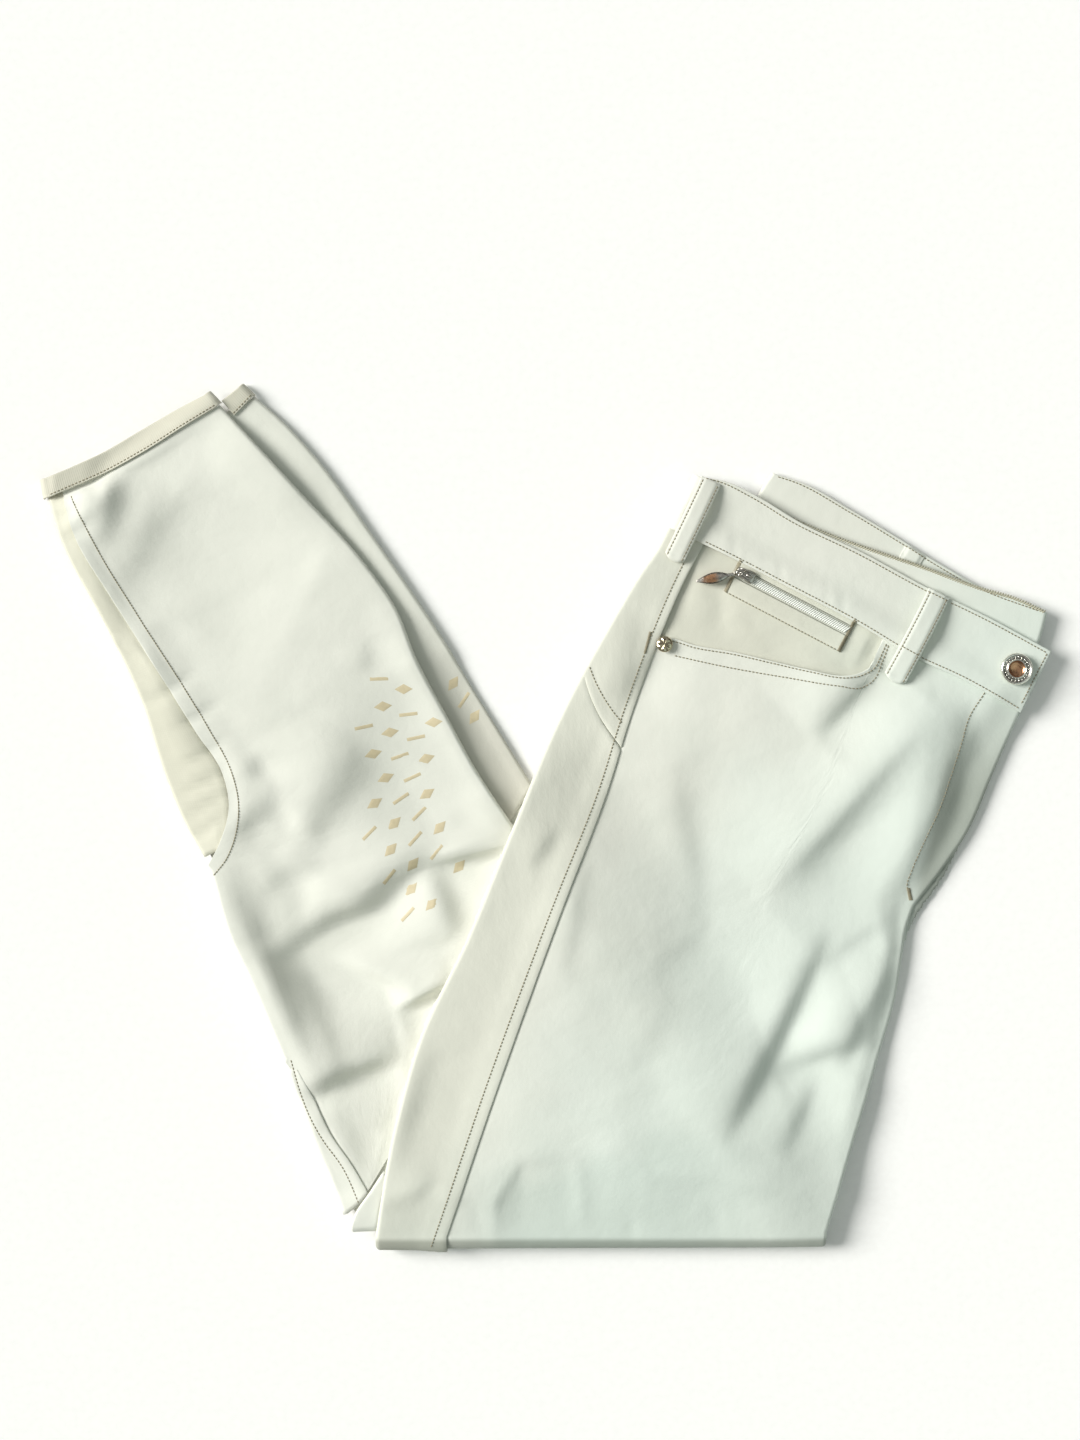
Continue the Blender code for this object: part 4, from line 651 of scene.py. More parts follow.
def linear(colour):
    """A linear colour from sRGB bytes."""
    found = []
    for channel in colour:
        level = channel / 255
        found.append(level / 12.92 if level <= 0.04045 else ((level + 0.055) / 1.055) ** 2.4)
    return (*found, 1.0)


def shaded(colour, level):
    """An sRGB colour made darker, or lighter up to white."""
    return [min(255, level * channel) for channel in colour]


class Finish:
    """A material and short notation for its nodes."""

    # Sockets of a Mix node for its share and two colours, and for the colour it gives
    COLOUR_INPUTS = (0, 6, 7)
    COLOUR_OUTPUT = 2

    def __init__(self, name, **constants):
        self.material = bpy.data.materials.new(name)
        self.material.use_nodes = True
        self.tree = self.material.node_tree
        self.shader = self.tree.nodes["Principled BSDF"]
        for socket, value in constants.items():
            self.shader.inputs[socket.replace("_", " ")].default_value = value

    def add(self, kind, inputs=(), **settings):
        node = self.tree.nodes.new(kind)
        for name, value in settings.items():
            setattr(node, name, value)
        for socket, value in dict(inputs).items():
            self.feed(node.inputs[socket], value)
        return node

    def feed(self, socket, value):
        """Links a socket to another, or gives it a value of its own."""
        if isinstance(value, bpy.types.NodeSocket):
            self.tree.links.new(value, socket)
        else:
            socket.default_value = value

    def place(self, kind="UV", turn=0.0):
        spot = self.add("ShaderNodeTexCoord").outputs[kind]
        return self.add("ShaderNodeMapping", {"Vector": spot, "Rotation": (0, 0, turn)}).outputs[0]

    def noise(self, spot, scale, detail=2.0, roughness=0.5):
        inputs = {"Vector": spot, "Scale": scale, "Detail": detail, "Roughness": roughness}
        return self.add("ShaderNodeTexNoise", inputs).outputs[0]

    def waves(self, spot, pitch, direction="X", distortion=0.0):
        """Bands with ridges PITCH metres apart. At scale 1, a wave texture has 10 / pi of them to a metre."""
        inputs = {"Vector": spot, "Scale": math.pi / 10 / pitch, "Distortion": distortion}
        return self.add("ShaderNodeTexWave", inputs, bands_direction=direction).outputs[1]

    def math(self, operation, first, second):
        return self.add("ShaderNodeMath", {0: first, 1: second}, operation=operation).outputs[0]

    def range(self, value, low, high, start=0.0, end=1.0):
        """LOW to HIGH as a value goes from START to END."""
        inputs = {"Value": value, "From Min": start, "From Max": end, "To Min": low, "To Max": high}
        return self.add("ShaderNodeMapRange", inputs).outputs[0]

    def mix(self, share, first, second, blend="MIX"):
        node = self.add("ShaderNodeMix", data_type="RGBA", blend_type=blend)
        for socket, value in zip(self.COLOUR_INPUTS, (share, first, second)):
            self.feed(node.inputs[socket], value)
        return node.outputs[self.COLOUR_OUTPUT]

    def painted_light_and_shade(self, tint, nested):
        """Painted light and shade by the cloth's place: cool light at the lower right, shade where it is
        deep.
        """
        apart = self.add("ShaderNodeSeparateXYZ", {"Vector": self.place("Object")})
        x, y = apart.outputs[0], apart.outputs[1]
        down = self.math("SUBTRACT", 0.0, y)
        drift = self.range(self.noise(self.place("Object"), 14, 2.0), -TINT_DRIFT, TINT_DRIFT, *NOISE_SPAN)
        right, up = self.math("MULTIPLY", x, COOL_LIGHT_WAY[0]), self.math("MULTIPLY", y, COOL_LIGHT_WAY[1])
        cool_light = self.eased(self.math("ADD", self.math("SUBTRACT", right, up), drift), *COOL_LIGHT_SPAN)
        low = self.eased(self.math("SUBTRACT", drift, y), *KNEE_SPAN)
        knee_shade = self.math("MULTIPLY", low, self.eased(x, *KNEE_LEFT_SPAN))
        knee_shade = self.math("SUBTRACT", knee_shade, self.math("MULTIPLY", knee_shade, self.eased(x, *KNEE_RIGHT_SPAN)))
        tint = self.mix(cool_light, tint, PAINTED_COOL_LIGHT, "MULTIPLY")
        if nested:
            tint = self.mix(self.eased(down, *STRIP_SHADOW_SPAN), tint, PAINTED_STRIP_SHADOW, "MULTIPLY")
        tint = self.mix(knee_shade, tint, PAINTED_KNEE_SHADE, "MULTIPLY")
        beyond = self.eased(self.math("SUBTRACT", x, self.math("MULTIPLY", y, FLY_SLANT)), *FLY_SPAN)
        fly_shade = self.math("MULTIPLY", beyond, self.eased(down, *FLY_TOP_SPAN))
        fly_shade = self.math("MULTIPLY", fly_shade, self.eased(y, *FLY_LOW_SPAN))
        tint = self.mix(fly_shade, tint, PAINTED_DEEP_SHADE, "MULTIPLY")
        return self.mix(self.eased(down, *KNEE_UNDER_SPAN), tint, PAINTED_DEEP_SHADE, "MULTIPLY")

    def eased(self, value, start, end):
        """0 to 1 as a value goes from START to END, with an eased rise between."""
        return self.add("ShaderNodeMapRange", {"Value": value, "From Min": start, "From Max": end},
                        interpolation_type="SMOOTHSTEP").outputs[0]

    def bump(self, height, distance, strength, under=None):
        inputs = {"Height": height, "Distance": distance, "Strength": strength}
        if under:
            inputs["Normal"] = under
        return self.add("ShaderNodeBump", inputs).outputs[0]

    def link(self, **outputs):
        for socket, output in outputs.items():
            self.tree.links.new(output, self.shader.inputs[socket.replace("_", " ")])
        return self.material


def cloth_finish(name, colour, shade, knit=0.00055, fuzz=0.5, blotches=0.5, ribs=None, roughness=(0.72, 0.9),
                 sheen=0.1, nested=False, rib_depth=0.3):
    """Knitted softshell: small loops, soft blotches and a brushed face, with painted light and shade by
    place.
    """
    made = Finish(name, Sheen_Weight=sheen, Sheen_Roughness=0.45, Specular_IOR_Level=0.22)
    made.shader.inputs["Sheen Tint"].default_value = (1, 1, 1, 1)
    spot = made.place()
    slant = made.place(turn=math.radians(32))
    across, along = made.waves(spot, knit, "X"), made.waves(slant, knit * 1.3, "Y", 0.6)
    loops = made.math("MULTIPLY", across, along)
    brushed = made.noise(spot, 1400, 3.0, 0.65)
    broad = made.noise(spot, 17, 3.0, 0.55)
    cloudy = made.noise(spot, 95, 4.0, 0.6)
    tone = made.math("MULTIPLY", broad, 0.6)
    tone = made.math("ADD", tone, made.math("MULTIPLY", cloudy, 0.4))
    tone = made.range(tone, 0.5 - 0.9 * blotches, 0.5 + 0.9 * blotches, *NOISE_SPAN)
    tint = made.mix(tone, linear(shade), linear(colour))
    pile = made.math("ADD", made.math("MULTIPLY", loops, 1 - fuzz), made.math("MULTIPLY", brushed, fuzz))
    tint = made.mix(made.range(pile, 0.1, 0.0, 0.15, 0.6), tint, linear(shaded(shade, 0.86)))
    tint = made.painted_light_and_shade(tint, nested)
    normal = made.bump(pile, 0.0001, 0.34)
    normal = made.bump(cloudy, 0.0009, 0.35, normal)
    if ribs:
        rib = made.waves(spot, ribs, "X", 0.15)
        tint = made.mix(made.range(rib, 0.4 * rib_depth, 0.0), tint, linear(shaded(shade, 0.82)))
        normal = made.bump(rib, 0.0005, rib_depth, normal)
    rough = made.range(cloudy, *roughness, *NOISE_SPAN)
    return made.link(Base_Color=tint, Roughness=rough, Normal=normal)


def thread_finish(name, colour, dark=0.8):
    """Twisted sewing thread."""
    made = Finish(name, Sheen_Weight=0.3, Sheen_Roughness=0.3, Specular_IOR_Level=0.3)
    spot = made.place("Object")
    fibre = made.noise(spot, 2600, 2.0, 0.7)
    tint = made.mix(made.range(fibre, 0, 1, *NOISE_SPAN), linear(shaded(colour, dark)), linear(colour))
    rough = made.range(fibre, 0.55, 0.8)
    return made.link(Base_Color=tint, Roughness=rough, Normal=made.bump(fibre, 0.0001, 0.6))


def hard_finish(name, colour, dark, metallic=1.0, roughness=(0.18, 0.42), scale=420, coat=0.0, wear=0.0006):
    """Worn metal, or moulded plastic where METALLIC is 0."""
    made = Finish(name, Metallic=metallic, Coat_Weight=coat, Coat_Roughness=0.15)
    spot = made.place("Object")
    cloudy = made.noise(spot, scale, 4.0, 0.6)
    grit = made.noise(spot, scale * 6, 2.0, 0.6)
    pointed = made.add("ShaderNodeNewGeometry").outputs["Pointiness"]
    edge = made.range(pointed, 0, 1, 0.44, 0.54)
    tint = made.mix(made.range(cloudy, 0, 1, *NOISE_SPAN), linear(dark), linear(colour))
    tint = made.mix(made.range(edge, 0.0, 0.55), tint, linear(shaded(colour, 1.1)))
    rough = made.range(cloudy, *roughness, *NOISE_SPAN)
    return made.link(Base_Color=tint, Roughness=rough, Normal=made.bump(grit, wear * 0.1, 0.35))


def leaf_finish():
    """Metal of the pull's leaf with painted reflections: a dark rim, copper in its middle, a highlight at its
    tip.
    """
    made = Finish("leaf_metal", Metallic=1.0)
    apart = made.add("ShaderNodeSeparateXYZ", {"Vector": made.place("UV")})
    cloudy = made.noise(made.place("Object"), 620, 3.0, 0.6)
    along = made.math("ADD", apart.outputs[0], made.range(cloudy, -LEAF_DRIFT, LEAF_DRIFT, *NOISE_SPAN))
    rim = made.eased(apart.outputs[1], *LEAF_SHADED_RIM_SPAN)
    copper_reflection = made.math("MULTIPLY", made.eased(along, *LEAF_COPPER_REFLECTION_SPAN), made.range(rim, 1.0, 0.0))
    tint = made.mix(made.range(cloudy, 0, 1, *NOISE_SPAN), linear(shaded(COLOURS["nickel"], 0.6)),
                    linear(shaded(COLOURS["nickel"], 0.86)))
    tint = made.mix(copper_reflection, tint, linear(COLOURS["rose"]))
    tint = made.mix(made.eased(along, *LEAF_TIP_HIGHLIGHT_SPAN), tint, linear(COLOURS["nickel"]))
    tint = made.mix(made.math("MULTIPLY", rim, 0.7), tint, linear(shaded(COLOURS["brass"], 0.4)))
    return made.link(Base_Color=tint, Roughness=made.range(cloudy, 0.16, 0.34, *NOISE_SPAN))


FINISHES = {
    "cloth": cloth_finish("softshell", COLOURS["cloth"], COLOURS["cloth_shade"]),
    "back": cloth_finish("softshell_back_painted_shade", COLOURS["back"], shaded(COLOURS["back"], 0.97)),
    # The other leg's strip, with a painted shadow towards its lower end
    "nested": cloth_finish("softshell_between_layers", COLOURS["cloth"], COLOURS["cloth_shade"], nested=True),
    "calf": cloth_finish("stretch_knit", COLOURS["calf"], shaded(COLOURS["calf"], 0.94), knit=0.0008,
                         fuzz=0.3, roughness=(0.55, 0.75)),
    "facing": cloth_finish("softshell_pocket_painted_shade", COLOURS["facing"], shaded(COLOURS["facing"], 0.95)),
    "elastic": cloth_finish("ribbed_elastic", COLOURS["elastic"], shaded(COLOURS["elastic"], 0.88),
                            knit=0.0007, fuzz=0.7, blotches=0.25, ribs=0.0012, rib_depth=0.22),
    "tape": cloth_finish("woven_tape", COLOURS["tape"], shaded(COLOURS["tape"], 0.95), knit=0.0005,
                         fuzz=0.2, ribs=0.0009, rib_depth=0.1),
    "thread": thread_finish("sewing_thread", COLOURS["thread"]),
    "rope": thread_finish("overlock_thread", COLOURS["rope"], 0.72),
    "hole": thread_finish("needle_hole", COLOURS["hole"], 0.85),
    "teeth": hard_finish("nylon_teeth", COLOURS["teeth"], shaded(COLOURS["teeth"], 0.93), metallic=0.0,
                         roughness=(0.3, 0.45)),
    "nickel": hard_finish("nickel", COLOURS["nickel"], shaded(COLOURS["nickel"], 0.86),
                          roughness=(0.1, 0.24)),
    "leaf": leaf_finish(),
    "brass": hard_finish("pale_brass", COLOURS["brass"], shaded(COLOURS["brass"], 0.66),
                         roughness=(0.12, 0.26), scale=900),
    "dark_nickel": hard_finish("aged_nickel", shaded(COLOURS["nickel"], 0.8), shaded(COLOURS["nickel"], 0.42),
                               roughness=(0.2, 0.38), scale=700),
    "rose": hard_finish("rose_metal", COLOURS["rose"], shaded(COLOURS["rose"], 0.75),
                        roughness=(0.14, 0.3), scale=900),
    "print": hard_finish("silicone_print", COLOURS["print"], shaded(COLOURS["print"], 0.94), metallic=0.0,
                         roughness=(0.5, 0.62), coat=0.05),
}


# ---------------------------------------------------------------- meshes

def new_piece(name, points, faces, finishes, node=None, slots=None, body=BODY, uv=None, face_finishes=None):
    """A piece from points in millimetres, which rides on a body and can stand for a CAD node."""
    mesh = bpy.data.meshes.new(name)
    mesh.from_pydata((np.asarray(points, float) * MM).tolist(), [], faces)
    for finish in finishes:
        mesh.materials.append(FINISHES[finish])
    if face_finishes is not None:
        mesh.polygons.foreach_set("material_index", np.asarray(face_finishes, np.int32))
    if uv is not None:
        order = np.array([corner for face in faces for corner in face])
        layer = mesh.uv_layers.new(name="cloth")
        layer.data.foreach_set("uv", (np.asarray(uv, float)[order] * MM).astype(np.float32).ravel())
    mesh.shade_smooth()
    made = bpy.data.objects.new(name, mesh)
    bpy.context.scene.collection.objects.link(made)
    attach(made, body)
    if node:
        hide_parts(node)
    return made


def grid_faces(rows, columns):
    """Quads of a grid stored row by row, facing up where rows run down and columns run right."""
    corner = (np.arange(rows - 1)[:, None] * columns + np.arange(columns - 1)[None, :]).ravel()
    return np.stack([corner, corner + columns, corner + columns + 1, corner + 1], axis=1).tolist()


def coons(top, bottom, left, right, across, down):
    """Plan points of a grid between boundary points: TOP and BOTTOM by ACROSS, LEFT and RIGHT by DOWN."""
    u = across[None, :, None]
    v = down[:, None, None]
    ends = (1 - v) * top[None, :] + v * bottom[None, :]
    left_ends = (1 - down)[:, None] * top[0] + down[:, None] * bottom[0]
    right_ends = (1 - down)[:, None] * top[-1] + down[:, None] * bottom[-1]
    return ends + (1 - u) * (left - left_ends)[:, None] + u * (right - right_ends)[:, None]


# A panel's end that turns round the knee
Turn = namedtuple("Turn", "depth angles")
KNEE = Turn(KNEE_DEPTH, KNEE_TURNS)
# Distances of a panel's points from its four sides, and their place
Sides = namedtuple("Sides", "left right top bottom x y")
# Narrow cells at a rounded edge, and the width and depth of its rounding
EDGE_STEPS = (0.12, 0.3, 0.6)
EDGE_ROUND = 0.7
EDGE_DROP = 0.55


def shares(length, cell=CELL, start=True, end=True):
    """Shares of a side in even cells, with narrow ones at ends where an edge is rounded."""
    spots = list(np.linspace(0, length, max(2, round(length / cell)) + 1))
    if start:
        spots += EDGE_STEPS
    if end:
        spots += [length - step for step in EDGE_STEPS]
    return np.unique(np.round(spots, 4)) / length


def rounded(distance):
    """Drop of a cut edge, rounded over a fraction of a millimetre."""
    share = 1 - np.clip(distance / EDGE_ROUND, 0, 1)
    return EDGE_DROP * (1 - np.sqrt(np.maximum(0, 1 - share**2)))


def knee_turned(x, y, level, raised, turn):
    """Rows of a panel's end that turns round the knee: points and outward directions."""
    half = level / 2
    depth = turn.depth * np.ones_like(half)
    points, normals = [], []
    for degrees in turn.angles:
        angle = math.radians(degrees)
        normal = np.stack([0 * half, -half * math.sin(angle), depth * math.cos(angle)], axis=-1)
        normal /= np.linalg.norm(normal, axis=-1, keepdims=True)
        middle = np.stack([x, y - depth * math.sin(angle), half + half * math.cos(angle)], axis=-1)
        points.append((middle + raised[:, None] * normal)[None])
        normals.append(normal[None])
    return points, normals


def side_turned(inner, normal, way, turn, radius):
    """Columns of a panel's side that turns round a garment fold."""
    out = np.concatenate([way, np.zeros((len(way), 1))], axis=1)
    out = out - (out * normal).sum(-1, keepdims=True) * normal
    out /= np.linalg.norm(out, axis=-1, keepdims=True)
    columns = []
    for step in range(1, SIDE_STEPS + 1):
        angle = (turn * step / SIDE_STEPS)[:, None]
        columns.append(inner + radius * (np.sin(angle) * out - (1 - np.cos(angle)) * normal))
    return np.stack(columns, axis=1)


def cloth_grid(top, bottom, left, right, height, across, down, turn_left=0.0, turn_right=0.0, lift=None,
               turn_end=None, roll=ROLL, edges="", seams=()):
    """Points of a panel. Its sides can turn round a garment fold by an angle, and its end round the knee."""
    turns = [np.radians(turn(down) if callable(turn) else turn + 0 * down)
             for turn in (turn_left, turn_right)]
    left_in, right_in = (roll * np.sin(np.minimum(turn, math.pi / 2)) for turn in turns)
    ways = [-left.normal(down), right.normal(down)]
    left_points = left.at(down) - ways[0] * left_in[:, None]
    right_points = right.at(down) - ways[1] * right_in[:, None]
    plan = coons(top.at(across), bottom.at(across), left_points, right_points, across, down)
    x, y = plan[..., 0], plan[..., 1]
    widths = np.linalg.norm(right_points - left_points, axis=1)[:, None]
    lengths = np.linalg.norm(np.diff(plan, axis=0), axis=-1).sum(0)[None, :]
    sides = Sides(across * widths, (1 - across) * widths, down[:, None] * lengths,
                  (1 - down)[:, None] * lengths, x, y)
    base = height(x, y)
    raised = lift(sides) if callable(lift) else (lift or 0.0) + 0 * x
    for letter, distance in zip("lrtb", sides[:4]):
        if letter in edges:
            raised = raised - rounded(distance)
    for seam in seams:
        raised = raised - GROOVE * np.exp(-(seam.distance(x, y) / GROOVE_WIDTH) ** 2)
    points = [np.stack([x, y, base + raised], axis=-1)]
    normals = [np.broadcast_to([0.0, 0.0, 1.0], points[0].shape)]
    if turn_end:
        end_points, end_normals = knee_turned(x[-1], y[-1], base[-1], raised[-1], turn_end)
        points += end_points
        normals += end_normals
        more = len(turn_end.angles)
        ways = [np.concatenate([way, np.repeat(way[-1:], more, axis=0)]) for way in ways]
        turns = [np.concatenate([turn, np.repeat(turn[-1:], more)]) for turn in turns]
        raised = np.concatenate([raised, np.repeat(raised[-1:], more, axis=0)])
    points, normals = np.concatenate(points), np.concatenate(normals)
    columns = [points]
    for side, way, turn in zip((0, -1), ways, turns):
        if turn.max() == 0:
            continue
        inner = points[:, side]
        room = (inner[:, 2] - FLOOR_ROOM) / (1 - np.cos(turn) + 1e-6)
        radius = np.minimum(roll + raised[:, side], np.maximum(room, LEAST_ROLL))[:, None]
        outer = side_turned(inner, normals[:, side], way, turn, radius)
        columns = [outer[:, ::-1]] + columns if side == 0 else columns + [outer]
    return np.concatenate(columns, axis=1)


# All the cloth pieces, and their outer faces in millimetres
SURFACES = []


def cloth(node, top, bottom, left, right, height, finish, slot, thickness=CLOTH, cell=CELL, down=None,
          edges="", **options):
    """A cloth wall of even thickness under its outer face. EDGES names the sides that show a rounded edge."""
    across = shares(max(top.length, bottom.length), cell, "l" in edges, "r" in edges)
    if down is None:
        down = shares(max(left.length, right.length), cell, "t" in edges, "b" in edges)
    points = cloth_grid(top, bottom, left, right, height, across, down, edges=edges, **options)
    along = np.linalg.norm(np.diff(points, axis=0), axis=-1).mean(1)
    beside = np.linalg.norm(np.diff(points, axis=1), axis=-1).mean(0)
    u, v = np.meshgrid(np.concatenate([[0], np.cumsum(beside)]), -np.concatenate([[0], np.cumsum(along)]))
    faces = grid_faces(*points.shape[:2])
    made = new_piece(node + "_cloth", points.reshape(-1, 3), faces, [finish], node=node, slots=slot,
                     uv=np.stack([u.ravel(), v.ravel()], axis=1))
    wall = made.modifiers.new("thickness", "SOLIDIFY")
    wall.thickness = thickness * MM
    wall.offset = -1
    SURFACES.append((points.reshape(-1, 3), faces))


def lapped(distance):
    """Lift of a panel that laps over its neighbour, falling gently away from that side."""
    return LAP_STEP * (1 - smooth(distance, *LAP_SPAN))


def dipped(distance):
    """Dip of a panel's edge where its neighbour laps over it."""
    return -TUCK_DIP * (1 - smooth(distance, *TUCK_SPAN))


def line_between(first, second):
    """A straight line as a curve."""
    return Curve((tuple(first), tuple(second)))


def straight_ended(top, bottom):
    """The four sides of a panel whose left and right sides are straight."""
    return top, bottom, *(line_between(top.at(share), bottom.at(share)) for share in (0.0, 1.0))


# Places where panels begin and end: the pocket mouth's start, and three places where the knee's turn begins
MOUTH_NOTCH = (65, 103)
SEAM_AT_KNEE = (-58, KNEE_LINE + KNEE_DEPTH)
INSEAM_AT_KNEE = (160, KNEE_LINE + KNEE_DEPTH)
FOLD_AT_KNEE = (-95, KNEE_LINE + KNEE_DEPTH)
# Where the left leg's front comes out from under the thigh at the knee
SHIN_CORNER = (-86, -192.5)
# Lower end of the calf insert: on the outline and on its seam
INSERT_ENDS = ((-192.5, -21.5), (-184, -15))
# Upper end of the left leg's back, on the outline and on its seam, and its rounded lower end half way
CALF_STARTS = ((-145, -141), (-139, -141))
CALF_BEND = (-106, -218)
# Ends of the knee corner's outer and inner side
CORNER_OUTER = ((-91, -198), (-109.5, CORNER_LINE + CORNER_DEPTH))
CORNER_INNER = ((-86, -195), (-93.5, CORNER_LINE + CORNER_DEPTH))
# The right leg's strip: ends of its inner side, its hem, and the ends of its side under the thigh
STRIP_INNER = ((-182, 230), (-19, -3))
STRIP_HEM = ((-184, 219.5), (-177, 227.5), (-165.5, 239.5))
STRIP_BOTTOM = ((-5, 18), (-18, -5))
# Lower left corner, upper and right sides of the hip facing, which lie under their neighbours, and its reach
# under the mouth
FACING_LOW = (63, 99)
FACING_TOP = ((109, 150), (133, 137.5), (174, 116), (201, 102))
FACING_RIGHT = ((194, 90), (188, 81))
FACING_TUCK = 4.0
# Spans along X, Y or a distance over which a panel's lift changes
YOKE_SPAN = (1, 8)
YOKE_CORNER_SPAN = (10, 1)
YOKE_LAP_SPAN = (128, 110)
SHIN_LAP_SPAN = (-40, -18)
SHIN_DIP_SPAN = (-146, -160)
CALF_LOW_SPAN = (-224, -212)
CALF_TOP_SPAN = (-145, -168)
CALF_LIFT = 0.25
HEM_LEFT_SPAN = (-284, -277)
HEM_RIGHT_SPAN = (-246, -262)
# A lower leg's side turns by this angle where it lies under another piece, and over this share of its length
SLIGHT_TURN = 12.0
TURN_SHARE = 0.01


def right_thigh():
    """The right leg above the knee: front and back strip."""
    side = Curve(SIDE_SEAM)
    front_side = side.after(MOUTH_NOTCH).shifted(-TUCK)
    top = Curve((tuple(front_side.at(0.0)), MOUTH[0]), MOUTH, MOUTH_END, FRONT_WAIST_SEAM)
    front_side = front_side.before(SEAM_AT_KNEE)
    edge = THIGH_RIGHT.before(INSEAM_AT_KNEE)
    bottom = line_between(front_side.at(1.0), edge.at(1.0))
    cloth("right_front_leg", top, bottom, front_side, edge, thigh_height, "cloth", "cloth", edges="t",
          turn_right=SIDE_TURN, turn_end=KNEE, lift=lambda sides: dipped(sides.left),
          seams=(Curve(FLY_STITCH), Curve(MOUTH_STITCH), MOUTH_TOP_STITCH))

    def strip_lift(sides):
        return lapped(sides.right) - YOKE_DIP * (1 - smooth(sides.top, *TUCK_SPAN))

    lap = side.between(YOKE_SEAM[-1], SEAM_AT_KNEE)
    top = Curve(YOKE_SEAM).shifted(TUCK)
    outer = THIGH_EDGE.between(top.at(0.0), FOLD_AT_KNEE)
    bottom = line_between(outer.at(1.0), lap.at(1.0))
    cloth("right_back_thigh", top, bottom, outer, lap, thigh_height, "back", "cloth", edges="r",
          turn_left=SIDE_TURN, turn_end=KNEE, lift=strip_lift, seams=(SIDE_STITCH,))


def right_yoke():
    """The yoke at the hip, which meets the back strip and laps over the front leg."""
    seam = Curve(YOKE_SEAM)

    def lift(sides):
        over_thigh = YOKE_STEP * (1 - smooth(seam.distance(sides.x, sides.y), *YOKE_SPAN))
        side_lap = lapped(sides.right) * smooth(sides.y, *YOKE_LAP_SPAN)
        return over_thigh * (1 - smooth(sides.right, *YOKE_CORNER_SPAN)) + side_lap

    side = Curve(SIDE_SEAM).before(YOKE_SEAM[-1])
    top = WAIST.before(SIDE_SEAM[0]).shifted(TUCK - 1)
    below = THIGH_EDGE.part(0.04, THIGH_EDGE.share_near(YOKE_SEAM[0]))
    outer = Curve((tuple(top.at(0.0)), tuple(below.at(0.0))), below.at(np.linspace(0, 1, 9)))
    cloth("right_back_yoke", top, seam, outer, side, thigh_height, "back", "cloth", edges="rb",
          turn_left=SIDE_TURN, lift=lift, seams=(SIDE_STITCH, Curve(YOKE_STITCH)))


def hip_facing():
    """The hip piece that shows behind the pocket mouth."""
    left = Curve(SIDE_SEAM).before(FACING_LOW).shifted(-TUCK)
    top = Curve((tuple(left.at(0.0)), *FACING_TOP))
    low = Curve(MOUTH).shifted(-FACING_TUCK)
    bottom = Curve((tuple(left.at(1.0)), tuple(low.at(0.12))), low.part(0.12, 1).points[::4])
    right = Curve((tuple(top.at(1.0)), *FACING_RIGHT, tuple(bottom.at(1.0))))
    cloth("hip_facing", top, bottom, left, right, facing_height, "facing", "cloth")


def left_shin():
    """The left leg below the knee, with its calf insert."""
    under_thigh = THIGH_EDGE.shifted(PRESSED)
    hidden = under_thigh.between(LEFT_SHIN[-1], SHIN_CORNER)
    right = Curve(LEFT_SHIN, hidden.points[::4])
    tucked = Curve(LEFT_SEAM).shifted(lambda share: -TUCK * smooth(share, -0.2, 0.2))
    left = Curve(INSERT_SEAM, LEFT_WRAP, np.concatenate([[LEFT_WRAP[-1]], tucked.points[6::6]]))
    insert_end = left.share_near(INSERT_SEAM[-1])
    wrap_end = left.share_near(LEFT_WRAP[-1])
    shin_end = right.share_near(LEFT_SHIN[-1])

    def turn_left(share):
        begun = smooth(share, insert_end, insert_end + TURN_SHARE)
        ended = smooth(share, wrap_end, wrap_end - TURN_SHARE)
        return SLIGHT_TURN + (SIDE_TURN - SLIGHT_TURN) * begun * ended

    def turn_right(share):
        free = smooth(share, shin_end + 2 * TURN_SHARE, shin_end - TURN_SHARE)
        return SLIGHT_TURN + (SIDE_TURN - SLIGHT_TURN) * free

    def lift(sides):
        lap = lapped(sides.left) * smooth(sides.y, *SHIN_LAP_SPAN)
        return lap + dipped(sides.left) * smooth(sides.y, *SHIN_DIP_SPAN)

    hem = Curve(LEFT_HEM).shifted(TUCK - 1)
    top = hem.after(INSERT_SEAM[0])
    bottom = line_between(LEFT_SEAM[-1], SHIN_CORNER)
    corners = [insert_end, insert_end + TURN_SHARE, wrap_end - TURN_SHARE, wrap_end, shin_end - TURN_SHARE,
               shin_end + 2 * TURN_SHARE]
    down = np.unique(np.concatenate([shares(left.length), corners]))
    cloth("left_front_leg", top, bottom, left, right, left_shin_height, "cloth", "cloth", down=down,
          turn_left=turn_left, turn_right=turn_right, lift=lift, seams=(Curve(INSERT_STITCH),))

    seam = Curve(INSERT_SEAM).before(INSERT_ENDS[1]).shifted(TUCK)
    outline = Curve(LEFT_OUTLINE).before(INSERT_ENDS[0])
    top = hem.part(0, hem.share_near(INSERT_SEAM[0]) + 0.03)
    bottom = line_between(outline.at(1.0), seam.at(1.0))
    cloth("left_calf_insert", top, bottom, outline, seam, left_shin_height, "calf", "stretch_cloth",
          turn_left=SIDE_TURN, lift=lambda sides: dipped(sides.right))


def left_back_strip():
    """The back of the left leg, which shows beside its seam near the knee."""
    def strip_lift(sides):
        inside = smooth(sides.y, *CALF_LOW_SPAN) * smooth(sides.y, *CALF_TOP_SPAN)
        return CALF_LIFT + (lapped(sides.right) - CALF_LIFT) * inside

    outline, seam = Curve(LEFT_KNEE).after(CALF_STARTS[0]), Curve(LEFT_SEAM).after(CALF_STARTS[1])
    top = line_between(outline.at(0.0), seam.at(0.0))
    bottom = Curve((LEFT_KNEE[-1], CALF_BEND, LEFT_SEAM[-1]))
    cloth("left_back_calf", top, bottom, outline, seam, left_shin_height, "cloth", "cloth", edges="r",
          turn_left=SIDE_TURN, lift=strip_lift, seams=(Curve(CALF_STITCH),))


